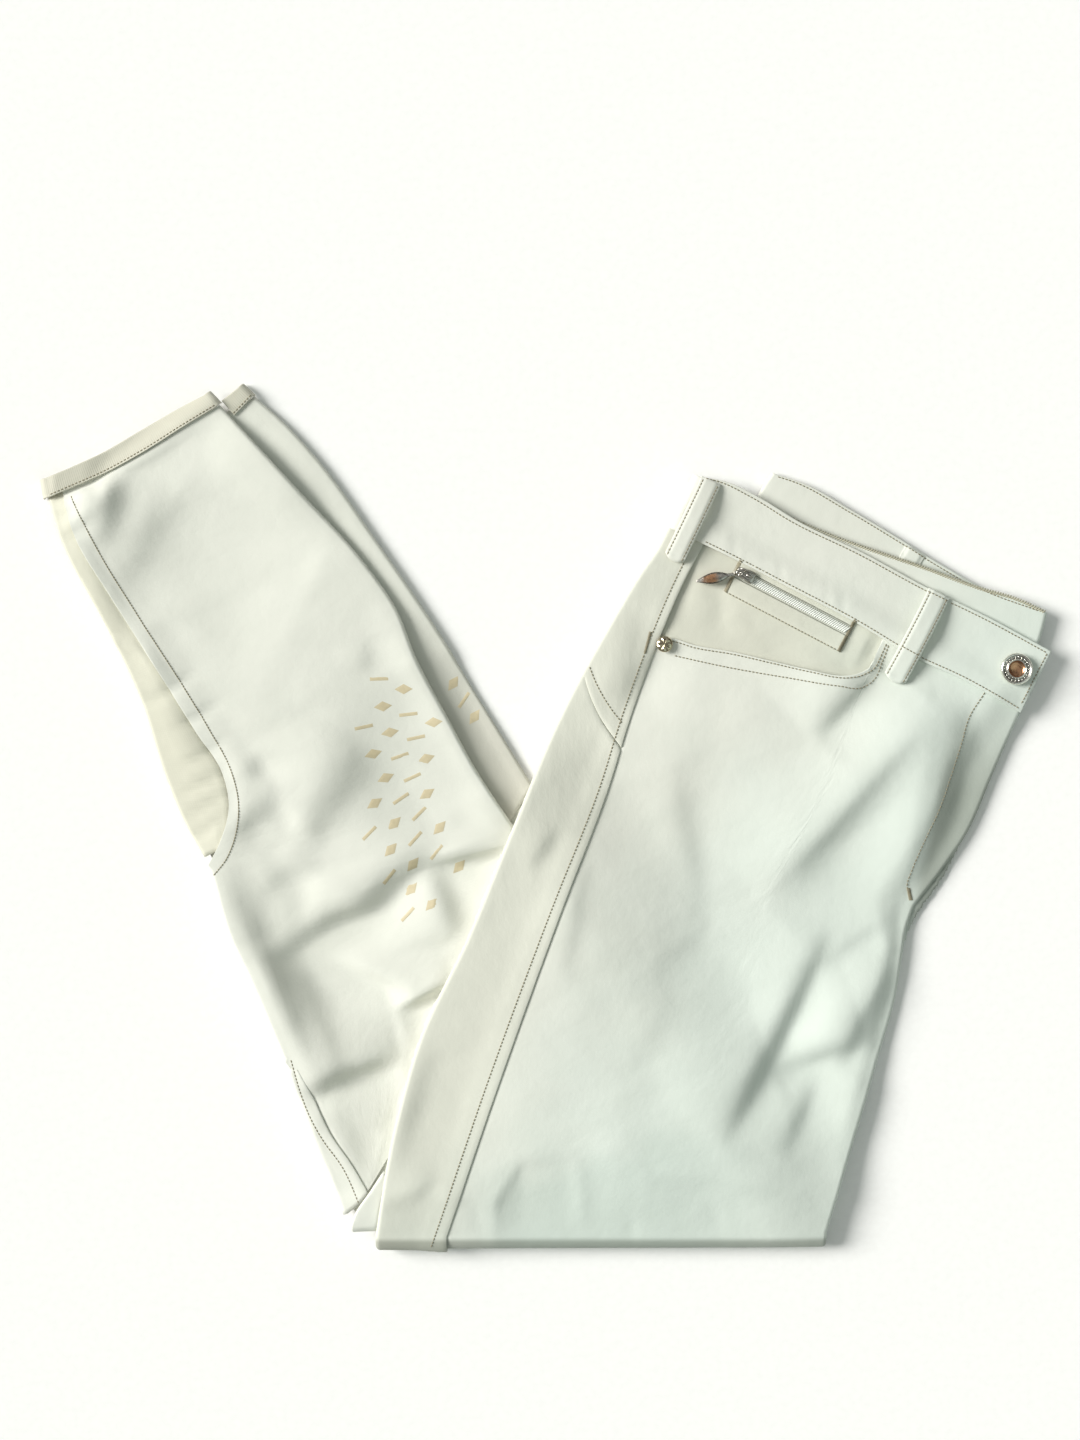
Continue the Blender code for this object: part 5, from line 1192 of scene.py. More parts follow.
def left_knee_corner():
    """The left thigh's corner, which shows between the lower leg and the right thigh."""
    side = Curve(CORNER_SIDE).between(*CORNER_OUTER)
    inner = THIGH_EDGE.shifted(PRESSED - 0.6).between(*CORNER_INNER)
    top, bottom = line_between(side.at(0.0), inner.at(0.0)), line_between(side.at(1.0), inner.at(1.0))
    cloth("left_back_thigh", top, bottom, side, inner, corner_height, "cloth", "cloth",
          turn_left=CORNER_TURN, roll=CORNER_ROLL,
          turn_end=Turn(CORNER_DEPTH, CORNER_TURNS))


def hem_bands():
    """Elastic bands, lapped over the ends of the legs."""
    def on_leg(sides):
        return HEM_LAP + LAP * smooth(sides.x, *HEM_LEFT_SPAN) * smooth(sides.x, *HEM_RIGHT_SPAN)

    cloth("left_hem_band", *straight_ended(Curve(LEFT_HEM_EDGE), Curve(LEFT_HEM)), left_shin_height,
          "elastic", "elastic", cell=BAND_CELL, edges="tb", turn_left=HEM_TURN, turn_right=HEM_TURN - 15,
          lift=on_leg, seams=(LEFT_HEM_STITCH,))
    cloth("right_hem_band", *straight_ended(Curve(RIGHT_HEM_EDGE), Curve(RIGHT_HEM)), right_shin_height,
          "elastic", "elastic", cell=BAND_CELL, edges="tb", turn_right=HEM_TURN, lift=HEM_LAP,
          seams=(RIGHT_HEM_STITCH,))


def right_shin():
    """The strip of the right back leg that shows beside the left leg."""
    edge = Curve(RIGHT_SHIN)
    under_thigh = THIGH_EDGE.shifted(PRESSED)
    inner = Curve(LEFT_SHIN).shifted(lambda share: -TUCK + 2 * smooth(share, 0.06, 0.01))
    inner = inner.between(*STRIP_INNER)
    top = Curve(STRIP_HEM).shifted(TUCK - 1).after(inner.at(0.0))
    bottom = Curve(under_thigh.between(*STRIP_BOTTOM).points[::-3])
    cloth("right_back_calf", top, bottom, inner, edge, right_shin_height, "nested", "cloth",
          turn_right=SIDE_TURN)


# The rounded ends of the waistband's inner and outer parts, half way, and where each is under the next part
INNER_BAND_BEND = (282, 107)
OUTER_BAND_BEND = (123, 188)
INNER_BAND_UNDER = ((131, 172), (279, 97))
OUTER_BAND_UNDER = ((118, 178), (136, 169))
# Reach of the waistband over the panels below it, and of its back parts under the part before
BAND_OVERLAP = 2.0
BAND_TUCK = 4.0


def waistband():
    """The band's right front, with the right back and left back parts beyond it."""
    front = straight_ended(Curve(BAND_TOP), Curve(WAIST_SEAM).shifted(-BAND_OVERLAP))
    cloth("waistband_right_front", *front, front_band_height, "cloth", "cloth", edges="trb",
          thickness=BAND_CLOTH, turn_left=BAND_TURN, roll=BAND_ROLL,
          seams=(BAND_TOP_STITCH, WAIST_STITCH, BAND_END_STITCH))

    edge = Curve(INNER_BAND_TOP)
    under = Curve(BAND_TOP).shifted(-BAND_TUCK).between(*INNER_BAND_UNDER)
    left = line_between(edge.at(0.0), under.at(0.0))
    right = Curve((tuple(edge.at(1.0)), INNER_BAND_BEND, tuple(under.at(1.0))))
    cloth("waistband_right_back", edge, under, left, right, inner_band_height, "cloth", "cloth", edges="t",
          turn_right=SIDE_TURN - 40)

    edge = Curve(OUTER_BAND_TOP)
    first = Curve(BAND_TOP).shifted(-TUCK).between(*OUTER_BAND_UNDER)
    under = Curve(first.points[::3], Curve(INNER_BAND_TOP).shifted(-BAND_TUCK).points[::6])
    left = Curve((tuple(edge.at(0.0)), OUTER_BAND_BEND, tuple(under.at(0.0))))
    right = line_between(edge.at(1.0), under.at(1.0))
    cloth("waistband_left_back", edge, under, left, right, outer_band_height, "cloth", "cloth", edges="t",
          thickness=BAND_CLOTH - 0.4, turn_left=SIDE_TURN - 50, seams=(OUTER_BAND_STITCH,))


def loop_sides(loop, inset=0.0):
    """The long sides of a belt loop, moved inwards by INSET."""
    way = np.array([loop.x1 - loop.x0, loop.y1 - loop.y0])
    way = way / np.hypot(*way)
    side = np.array([way[1], -way[0]]) * (loop.half_width - inset)
    start, end = np.array([loop.x0, loop.y0]), np.array([loop.x1, loop.y1])
    return line_between(start + side, end + side), line_between(start - side, end - side)


def loop_lift(sides):
    """A belt loop is thicker in its middle, and at its lower end where it is turned under."""
    side = np.minimum(sides.left, sides.right)
    hem = LOOP_HEM * np.exp(-((sides.bottom - LOOP_HEM_MIDDLE) / LOOP_HEM_WIDTH) ** 2)
    return hem - LOOP_ROUND * (1 - smooth(side, 0, LOOP_EDGE))


def belt_loop(node, loop, ends, thickness=LOOP_CLOTH):
    """A strip that arches from one end to the other."""
    way = np.array([loop.x1 - loop.x0, loop.y1 - loop.y0])
    length = np.hypot(*way)

    def height(x, y):
        share = ((x - loop.x0) * way[0] + (y - loop.y0) * way[1]) / length**2
        return ends + loop.arch * np.sin(math.pi * np.clip(share, 0, 1)) ** 0.7

    left, right = (side.part(0, 1 - LOOP_BULGE / length) for side in loop_sides(loop))
    tip = np.array([loop.x1, loop.y1]) - way / length * LOOP_TIP_INSET
    beside = LOOP_TIP_SHARE * (left.at(1.0) - right.at(1.0)) / 2
    lower = Curve((tuple(left.at(1.0)), tuple(tip + beside), tuple(tip - beside), tuple(right.at(1.0))))
    cloth(node, line_between(left.at(0.0), right.at(0.0)), lower, left, right, height, "cloth", "cloth",
          thickness=thickness, cell=FINE_CELL, edges="lrtb", seams=loop_sides(loop, LOOP_SEAM),
          lift=loop_lift)


def zip_point(along, across):
    """Plan point in the zip's own directions, ACROSS being towards the waist."""
    way = np.array(ZIP_ALONG)
    up = np.array([-way[1], way[0]])
    return np.array(ZIP_START) + along * way + across * up


def zip_strip(node, low, high, level, thickness, finish, slot, edges="", lift=None):
    """A straight strip along the zip, between two distances from the line of its teeth."""
    start, end = ZIP_OPENING
    upper, lower = (line_between(zip_point(start, across), zip_point(end, across)) for across in (high, low))
    cloth(node, *straight_ended(upper, lower), lambda x, y: facing_height(x, y) + level, finish, slot,
          thickness=thickness, cell=FINE_CELL, edges=edges, lift=lift)


# Height of a welt's padding, and its fall towards its seam and its ends
WELT_PAD = 1.35
WELT_SEAM_FALL = 3.2
WELT_END_FALL = 2.2


def fallen(distance, reach):
    """Drop of a welt where its seam pulls it down."""
    return WELT_PAD * (1 - np.sqrt(1 - (1 - np.clip(distance / reach, 0, 1)) ** 2))


def padded_upper(sides):
    """Lift of the upper welt, whose seam the waistband covers."""
    return -np.maximum(fallen(sides.left, WELT_END_FALL), fallen(sides.right, WELT_END_FALL))


def padded_lower(sides):
    """Lift of the lower welt."""
    return np.minimum(padded_upper(sides), -fallen(sides.bottom, WELT_SEAM_FALL))


# ---------------------------------------------------------------- rows of stitches along seams and edges

SIDE_STITCH = Curve(SIDE_SEAM).part(0.04, 1).shifted(lambda share: -5.0 - 1.6 * smooth(share, 0.2, 0.8))
WELT_SEAM = 0.5 - LOWER_WELT_EDGE
MOUTH_TOP_STITCH = Curve(MOUTH, MOUTH_END).part(0.06, 0.97).shifted(-1.8)
BAND_TOP_STITCH = Curve(BAND_TOP).part(0.03, 0.99).shifted(-2.0)
WAIST_STITCH = WAIST.part(0.1, 0.99).shifted(-0.3)
BAND_END_STITCH = line_between((283.6, 94), (269.2, 65.5))
OUTER_BAND_STITCH = Curve(OUTER_BAND_TOP).part(0.02, 0.98).shifted(-1.8)
LEFT_HEM_STITCH = Curve(LEFT_HEM).part(0.02, 0.98).shifted(0.8)
RIGHT_HEM_STITCH = Curve(RIGHT_HEM).shifted(1.3)
WELT_STITCH = line_between(zip_point(ZIP_OPENING[0] + 0.6, WELT_SEAM),
                           zip_point(ZIP_OPENING[1] - 0.4, WELT_SEAM))


right_thigh()
right_yoke()
hip_facing()
left_shin()
left_back_strip()
left_knee_corner()
right_shin()
hem_bands()
waistband()
belt_loop("belt_loop_side", SIDE_LOOP, LOOP_END)
belt_loop("belt_loop_front", FRONT_LOOP, LOOP_END)
belt_loop("belt_loop_back", BACK_LOOP, BACK_LOOP_TOP, thickness=BACK_LOOP_CLOTH)
zip_strip("zip_tape", -TAPE_HALF, TAPE_HALF, TAPE_LEVEL, TAPE_CLOTH, "tape", "tape")
zip_strip("zip_welt_upper", TAPE_HALF + WELT_GAP, UPPER_WELT_EDGE, WELT_LEVEL, CLOTH, "facing", "cloth", "b",
          lift=padded_upper)
zip_strip("zip_welt_lower", -LOWER_WELT_EDGE, -TAPE_HALF - WELT_GAP, WELT_LEVEL, CLOTH, "facing", "cloth",
          "t", lift=padded_lower)


# ---------------------------------------------------------------- sewing

def cloth_tree():
    """One search tree over the outer faces of all the cloth."""
    points, faces, count = [], [], 0
    for part_points, part_faces in SURFACES:
        points.append(part_points)
        faces += [[corner + count for corner in face] for face in part_faces]
        count += len(part_points)
    return BVHTree.FromPolygons([Vector(point) for point in np.concatenate(points)], faces)


TREE = cloth_tree()
# A height above all the cloth
ABOVE = 60.0


def drop(x, y):
    """Height of the uppermost cloth at a plan point."""
    spot, _, _, _ = TREE.ray_cast(Vector((x, y, ABOVE)), Vector((0, 0, -1)))
    return spot.z if spot else None


def core():
    """The layers that are folded away inside, as one soft solid that stays under the cloth."""
    source = frame["nodes"]["hidden_layers"]
    draft = bpy.data.objects.new("draft", source.data.copy())
    bpy.context.scene.collection.objects.link(draft)
    remesh = draft.modifiers.new("even_cells", "REMESH")
    remesh.mode = "VOXEL"
    remesh.voxel_size = CORE_VOXEL * 1
    relax = draft.modifiers.new("relax", "SMOOTH")
    relax.factor = 0.5
    relax.iterations = 4
    mesh = bpy.data.meshes.new_from_object(draft.evaluated_get(bpy.context.evaluated_depsgraph_get()))
    bpy.data.objects.remove(draft)
    for vertex in mesh.vertices:
        x, y, z = vertex.co / MM
        level = drop(x, y)
        if level is not None and z > level - CORE_UNDER:
            vertex.co.z = max(0.0, level - CORE_UNDER) * MM
    mesh.materials.clear()
    mesh.materials.append(FINISHES["cloth"])
    mesh.shade_smooth()
    made = bpy.data.objects.new("hidden_layers_cloth", mesh)
    bpy.context.scene.collection.objects.link(made)
    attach(made, BODY)
    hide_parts("hidden_layers")


core()


def ring_faces(rings, sides, reverse=False):
    """Quads between closed rings of points, stored ring by ring."""
    faces = []
    for ring in range(rings - 1):
        for side in range(sides):
            first, second = ring * sides + side, ring * sides + (side + 1) % sides
            faces.append([first, second, second + sides, first + sides])
    return [[face[0], *face[:0:-1]] for face in faces] if reverse else faces


def closed_rings(rings, sides, reverse=False):
    """The same, with the first and the last ring closed by a face."""
    first, last = list(range(sides)), [(rings - 1) * sides + side for side in range(sides)]
    ends = [first, last[::-1]] if reverse else [first[::-1], last]
    return ring_faces(rings, sides, reverse) + ends


class Gathered:
    """Points and faces that become one piece."""

    def __init__(self):
        self.points, self.faces, self.finishes = [], [], []

    def add(self, points, faces, finish=0):
        """Adds a form, with one finish or with one for each of its faces."""
        start = len(self.points)
        self.points += [tuple(point) for point in points]
        self.faces += [[corner + start for corner in face] for face in faces]
        self.finishes += finish if isinstance(finish, list) else [finish] * len(faces)

    def tube(self, path, radii, sides=6, finish=0):
        """A tube along a path with a radius at each of its points, closed at both ends."""
        path = np.asarray(path, float)
        ways = np.gradient(path, axis=0)
        ways /= np.linalg.norm(ways, axis=1, keepdims=True) + 1e-9
        up = np.array([0.0, 0.0, 1.0]) if abs(ways[0, 2]) < 0.9 else np.array([1.0, 0.0, 0.0])
        angles = np.arange(sides) * 2 * math.pi / sides
        rings = []
        for spot, way, radius in zip(path, ways, radii):
            beside = np.cross(way, up)
            beside /= np.linalg.norm(beside) + 1e-9
            over = np.cross(beside, way)
            rings.append(spot + radius * (np.cos(angles)[:, None] * beside + np.sin(angles)[:, None] * over))
        self.add(np.concatenate(rings), closed_rings(len(path), sides, reverse=True), finish)

    def placed_tube(self, stations, spot, heading, sides=10, finish=0, tilt=0.0):
        """A tube through stations of x, y, z and radius, turned about +Z and set at a spot."""
        stations = np.array(stations, float)
        self.tube(turned_points(stations[:, :3], spot, heading, tilt), stations[:, 3], sides, finish)

    def piece(self, name, finishes, **options):
        return new_piece(name, self.points, self.faces, finishes, face_finishes=self.finishes, **options)


# A stitch: share of its length, height above the cloth and swelling of the thread
ARCH = ((-0.5, -0.12, 0.5), (-0.36, 0.08, 1.0), (0.0, 0.17, 1.1), (0.36, 0.08, 1.0), (0.5, -0.12, 0.5))
# A needle hole shows as a dark disc of painted shade
# Corners of a needle hole's disc, its height above the cloth, and its distance in lengths of the stitch
HOLE_SIDES = 6
HOLE_LIFT = 0.04
HOLE_PLACE = 0.56
# A stitch is left out where the cloth under it falls by more than this
STEEPEST = 1.5


def sew(rows, curve, pitch=STITCH, length=STITCH_LENGTH, turn=0.0, radius=THREAD, holes=True, lift=0.0,
        level_at=None, steepest=STEEPEST):
    """Adds a row of stitches along a plan curve: the arched threads and, between them, painted shade discs at
    the needle holes.
    """
    count = max(1, round(curve.length / pitch))
    spots = (np.arange(count) + 0.5) / count
    centres, normals = curve.at(spots), curve.normal(spots)
    angle = math.radians(turn)
    corners = [(HOLE_RADIUS * math.cos(a), HOLE_RADIUS * math.sin(a))
               for a in np.arange(HOLE_SIDES) * 2 * math.pi / HOLE_SIDES]
    for centre, normal in zip(centres, normals):
        way = np.array([normal[1], -normal[0]])
        way = way * math.cos(angle) + normal * math.sin(angle)
        ends = [centre + share * length * way for share in (-0.5, 0.0, 0.5)]
        levels = [drop(*end) for end in ends] if level_at is None else [level_at] * 3
        if None in levels or max(levels) - min(levels) > steepest:
            continue
        path = []
        for share, above, _ in ARCH:
            level = np.interp(share, (-0.5, 0, 0.5), levels)
            path.append((*(centre + share * length * way), level + above * radius / THREAD + lift))
        rows.tube(path, [radius * swell for _, _, swell in ARCH])
        if holes:
            spot = centre + HOLE_PLACE * length * way
            level = drop(*spot)
            if level is not None:
                rim = [(spot[0] + x, spot[1] + y, level + HOLE_LIFT) for x, y in corners]
                rows.add(rim, [list(range(HOLE_SIDES))], 1)


def bartack(rows, start, end, width=2.2):
    """A dense zigzag of thread from START to END."""
    line = line_between(start, end)
    sew(rows, line, pitch=0.5, length=width, turn=84, radius=0.26, holes=False, lift=0.15, steepest=4.0)


# Bartacks at the fly's lower end and at the pocket mouth's start
FLY_TACK = ((205.8, -39), (207.4, -46))
MOUTH_TACK = ((59.6, 106), (56.4, 94))


def sewing():
    """Threads and painted shade discs at the needle holes, in one piece for each part of the garment."""
    thigh = Gathered()
    for curve in (SIDE_STITCH, Curve(FLY_STITCH), MOUTH_TOP_STITCH, Curve(MOUTH_STITCH), Curve(YOKE_STITCH)):
        sew(thigh, curve)
    bartack(thigh, *FLY_TACK)
    bartack(thigh, *MOUTH_TACK, width=1.5)
    thigh.piece("thigh_stitching", ["thread", "hole"], slots="tape")

    shin = Gathered()
    sew(shin, Curve(INSERT_STITCH), pitch=1.7, length=1.2)
    sew(shin, Curve(CALF_STITCH))
    sew(shin, LEFT_HEM_STITCH, pitch=2.2)
    sew(shin, RIGHT_HEM_STITCH, pitch=2.2)
    shin.piece("lower_leg_stitching", ["thread", "hole"], slots="tape")

    band = Gathered()
    for curve in (BAND_TOP_STITCH, WAIST_STITCH, BAND_END_STITCH, OUTER_BAND_STITCH):
        sew(band, curve)
    for loop in (SIDE_LOOP, FRONT_LOOP):
        for side in loop_sides(loop, LOOP_SEAM):
            sew(band, side.part(0.03, 0.97), length=1.5)
    band.piece("waist_stitching", ["thread", "hole"], slots="tape")

    rope = Gathered()
    edge = Curve(INNER_BAND_TOP).part(0.01, 0.99).shifted(-0.5)
    sew(rope, edge, pitch=1.5, length=2.7, turn=52, radius=0.45, holes=False, lift=-0.25,
        level_at=INNER_BAND_HEIGHT)
    rope.piece("overlock_edge", ["rope"], slots="tape")

    zip_rows = Gathered()
    sew(zip_rows, WELT_STITCH)
    start, end = ZIP_OPENING
    low, high = 0.3 - LOWER_WELT_EDGE, UPPER_WELT_EDGE - 0.8
    bartack(zip_rows, zip_point(end - 0.7, low), zip_point(end - 0.7, high), 2.3)
    bartack(zip_rows, zip_point(start + 1.0, low), zip_point(start + 0.5, high), 2.1)
    zip_rows.piece("zip_stitching", ["thread", "hole"], slots="tape")


sewing()

# The zip's elements, their slant in degrees, their radius, and the zip's bare ends
TOOTH_PITCH = 1.25
TOOTH_LENGTH = 4.9
TOOTH_SLANT = 28.0
TOOTH_RADIUS = 0.56
TOOTH_ENDS = (3.0, 1.5)
# An element: share of its length, share of its radius, height above the tape
TOOTH = ((-0.5, 0.25, 0.1), (-0.44, 0.75, 0.3), (-0.2, 1.0, 0.45), (0.0, 0.85, 0.38), (0.2, 1.0, 0.45),
         (0.44, 0.75, 0.3), (0.5, 0.25, 0.1))


def zip_teeth():
    """Slanted nylon elements over the middle of the tape."""
    teeth = Gathered()
    way = np.array(ZIP_ALONG)
    up = np.array([-way[1], way[0]])
    slant = math.radians(TOOTH_SLANT)
    lean = up * math.cos(slant) + way * math.sin(slant)
    start, end = BAIL_ALONG + TOOTH_ENDS[0], ZIP_OPENING[1] - TOOTH_ENDS[1]
    for tooth in range(int((end - start) / TOOTH_PITCH)):
        centre = zip_point(start + (tooth + 0.5) * TOOTH_PITCH, 0)
        path = []
        for share, _, above in TOOTH:
            spot = centre + share * TOOTH_LENGTH * lean
            path.append((*spot, drop(*spot) + above))
        teeth.tube(path, [TOOTH_RADIUS * swell for _, swell, _ in TOOTH], sides=8)
    teeth.piece("zip_teeth", ["teeth"], slots="tape")


zip_teeth()


# ---------------------------------------------------------------- metal pieces

# Rivet and button as rings of radius, height and finish, from their underside to their middle
RIVET_RINGS = ((2.2, -2.0, 0), (2.2, 0.0, 0), (4.3, 0.0, 0), (4.5, 0.2, 0), (4.55, 0.55, 0), (4.3, 0.9, 0),
               (3.7, 1.25, 0), (2.9, 1.5, 0), (2.0, 1.66, 0), (1.0, 1.74, 0), (0, 1.76, 0))
BUTTON_RINGS = ((7.8, -0.3, 0), (8.6, 0.1, 0), (9.0, 0.9, 0), (9.0, 1.6, 0), (8.8, 2.3, 0), (8.45, 2.7, 0),
                (8.05, 2.8, 0), (7.7, 2.65, 1), (7.4, 2.3, 1), (6.7, 2.2, 1), (6.0, 2.15, 1), (5.75, 2.3, 0),
                (5.5, 2.75, 0), (5.2, 2.9, 0), (4.9, 2.8, 0), (4.6, 2.4, 2), (4.1, 1.85, 2), (3.3, 1.45, 2),
                (2.2, 1.2, 2), (1.1, 1.1, 2), (0.0, 1.08, 2))
RIVET_STEPS = 84
BUTTON_STEPS = 64
# Flutes in the rivet's face: their number and depth, the radius where they end and the height they start at
FLUTES = 7
FLUTE_DEPTH = 0.26
FLUTE_REACH = 4.3
FLUTE_START = 0.9
# Beads in the button's ring: their number, the ring's radius and height, and half the size of a bead
BUTTON_BEADS = 22
BEAD_RING = 6.75
BEAD_LEVEL = 2.2
BEAD_HALF = (0.42, 0.3)
# Share of a bead's length, with the bead's radius
BEAD = ((-0.62, 0.16), (-0.45, 0.34), (0.0, 0.42), (0.45, 0.34), (0.62, 0.16))


def turned(name, profile, centre, base, finishes, steps, node, flutes=0):
    """A round piece from its profile of radius, height and finish, with radial flutes in its face."""
    angles = np.arange(steps) * 2 * math.pi / steps
    points = []
    for radius, height, _ in profile[:-1]:
        fluted = flutes and height > FLUTE_START
        deep = FLUTE_DEPTH * math.sin(math.pi * min(1, radius / FLUTE_REACH)) if fluted else 0
        points += [(centre[0] + radius * math.cos(a), centre[1] + radius * math.sin(a),
                    base + height + deep * math.cos(flutes * a)) for a in angles]
    points.append((centre[0], centre[1], base + profile[-1][1]))
    last = (len(profile) - 2) * steps
    faces = ring_faces(len(profile) - 1, steps)
    faces += [[last + side, last + (side + 1) % steps, len(points) - 1] for side in range(steps)]
    faces.append(list(range(steps))[::-1])
    marks = [mark for _, _, mark in profile[:-1] for _ in range(steps)] + [profile[0][2]]
    new_piece(name, points, faces, finishes, node=node, slots="nickel", face_finishes=marks)


def highest(height, centre, radius):
    """The highest point of a surface under a round piece."""
    angles = np.linspace(0, 2 * math.pi, ROUND_STEPS)
    return float(height(centre[0] + radius * np.cos(angles), centre[1] + radius * np.sin(angles)).max())


def fasteners():
    """The rivet at the pocket mouth and the waist button."""
    base = highest(thigh_height, RIVET_CENTRE, RIVET_SHANK) + RIVET_LIFT
    turned("pocket_rivet_metal", RIVET_RINGS, RIVET_CENTRE, base, ["brass"], RIVET_STEPS, "pocket_rivet",
           flutes=FLUTES)
    base = highest(front_band_height, BUTTON_CENTRE, BUTTON_SEAT) + BUTTON_LIFT
    turned("waist_button_metal", BUTTON_RINGS, BUTTON_CENTRE, base, ["nickel", "dark_nickel", "rose"],
           BUTTON_STEPS, "waist_button")
    button_beads(base)


def button_beads(base):
    """Small plain beads round the button's sunken ring."""
    beads = Gathered()
    for number in range(BUTTON_BEADS):
        angle = 2 * math.pi * number / BUTTON_BEADS
        way = np.array([math.cos(angle), math.sin(angle), 0.0])
        centre = np.array([*BUTTON_CENTRE, base + BEAD_LEVEL]) + BEAD_RING * way
        along, high = BEAD_HALF
        path = [centre + share * 2 * along * way + np.array([0, 0, high * (1 - 2.4 * abs(share))])
                for share, _ in BEAD]
        beads.tube(path, [radius for _, radius in BEAD], sides=8)
    beads.piece("waist_button_beads", ["nickel"], slots="nickel")


fasteners()


def turned_points(points, spot, heading, tilt=0.0):
    """Points tipped about +Y, turned about +Z and set at a spot."""
    points = np.asarray(points, float)
    tipped = np.stack([points[:, 0] * math.cos(tilt) + points[:, 2] * math.sin(tilt), points[:, 1],
                       -points[:, 0] * math.sin(tilt) + points[:, 2] * math.cos(tilt)], axis=1)
    c, s = math.cos(heading), math.sin(heading)
    return np.stack([tipped[:, 0] * c - tipped[:, 1] * s, tipped[:, 0] * s + tipped[:, 1] * c, tipped[:, 2]],
                    axis=1) + np.array(spot)


SLIDER_SPOT = (*zip_point(BAIL_ALONG, BAIL_OFFSET), THIGH_TOP - FACING_DROP + WELT_LEVEL + SLIDER_CLEAR)
# Two plates: half their width at places from the tail to the nose, the levels of their faces, and the middle
# and half the size that their rounded edges shrink about
SLIDER_STATIONS = ((-3.3, 1.6), (-3.0, 2.3), (-1.0, 2.5), (1.5, 2.7), (4.0, 3.3), (6.0, 3.5), (7.3, 3.2),
                   (7.7, 2.2))
SLIDER_PLATES = ((-0.9, -0.2), (0.7, 1.9))
SLIDER_MIDDLE = 2.2
SLIDER_HALF = (5.5, 3.0)
# Height of the rounding between a plate's faces and its edge
PLATE_BEVEL = 0.25
# Post between the plates, rail along either side and boss on the nose, as x, y, z and radius
SLIDER_POST = ((5.6, 0, -0.6, 1.0), (5.6, 0, 0.2, 1.0), (5.6, 0, 1.0, 1.0))
SLIDER_RAIL = ((-2.4, 1.7, 1.75, 0.3), (-0.5, 2.0, 2.05, 0.55), (1.8, 2.2, 2.1, 0.6), (4.2, 2.7, 2.05, 0.6),
               (6.2, 2.7, 1.8, 0.3))
SLIDER_BOSS = ((2.0, 0, 1.7, 0.35), (3.0, 0, 2.15, 0.9), (4.6, 0, 2.25, 1.0), (6.4, 0, 1.9, 0.4))
# Bail: half its span, the level of its feet below the slider's top, its rise, its wire and its steps
BAIL_HALF = 1.95
BAIL_FOOT = 0.9
BAIL_RISE = 2.5
BAIL_WIRE = 0.42
BAIL_STEPS = 12
# Loop of the pull: place of its middle, half its length and width, its wire and its steps
RING_MIDDLE = 2.45
RING_HALF = (2.4, 1.55)
RING_WIRE = 0.38
RING_STEPS = 24
# Pull: distance from the bail, half its width and half its thickness, and the place where its leaf begins
PULL_STATIONS = ((4.9, 0.45, 0.35), (5.4, 0.95, 0.6), (6.0, 1.15, 0.75), (6.5, 0.75, 0.55), (6.9, 0.95, 0.7),
                 (7.6, 1.2, 0.75), (8.2, 0.95, 0.6), (9.5, 1.5, 0.75), (11, 2.2, 0.9), (13, 2.8, 1.0),
                 (15, 3.15, 1.05), (17, 3.2, 1.05), (19, 2.95, 1.0), (21, 2.4, 0.85), (23, 1.7, 0.65),
                 (25, 0.95, 0.42), (26.3, 0.5, 0.28), (26.9, 0.2, 0.16))
PULL_SIDES = 20
LEAF_START = 8.0


def slider_plate(low, high):
    """Points and faces of a plate with rounded edges, between two levels."""
    outline = [*SLIDER_STATIONS, *((x, -y) for x, y in reversed(SLIDER_STATIONS))]
    rings = ((0.5, low), (0.1, low + PLATE_BEVEL), (0.0, (low + high) / 2), (0.15, high - PLATE_BEVEL),
             (0.6, high))
    points = []
    for inset, level in rings:
        long, wide = 1 - inset / SLIDER_HALF[0], 1 - inset / SLIDER_HALF[1]
        points += [(SLIDER_MIDDLE + (x - SLIDER_MIDDLE) * long, y * wide, level) for x, y in outline]
    return points, closed_rings(len(rings), len(outline), reverse=True)


def zip_slider():
    """The slider's two plates, wide at the nose, and the bail that holds the pull."""
    heading = math.atan2(ZIP_ALONG[1], ZIP_ALONG[0])
    parts = Gathered()
    for low, high in SLIDER_PLATES:
        points, faces = slider_plate(low, high)
        parts.add(turned_points(points, SLIDER_SPOT, heading), faces)
    parts.placed_tube(SLIDER_POST, SLIDER_SPOT, heading)
    for side in (-1, 1):
        parts.placed_tube([(x, y * side, z, radius) for x, y, z, radius in SLIDER_RAIL], SLIDER_SPOT, heading)
    parts.placed_tube(SLIDER_BOSS, SLIDER_SPOT, heading, sides=12)
    arch = []
    for step in range(BAIL_STEPS + 1):
        angle = math.pi * step / BAIL_STEPS
        level = SLIDER_HEIGHT - BAIL_FOOT + BAIL_RISE * math.sin(angle) ** 0.75
        arch.append((-BAIL_HALF * math.cos(angle), 0, level, BAIL_WIRE))
    parts.placed_tube(arch, SLIDER_SPOT, PULL_HEADING)
    parts.piece("zip_slider_metal", ["dark_nickel"], node="zip_slider", slots="nickel")


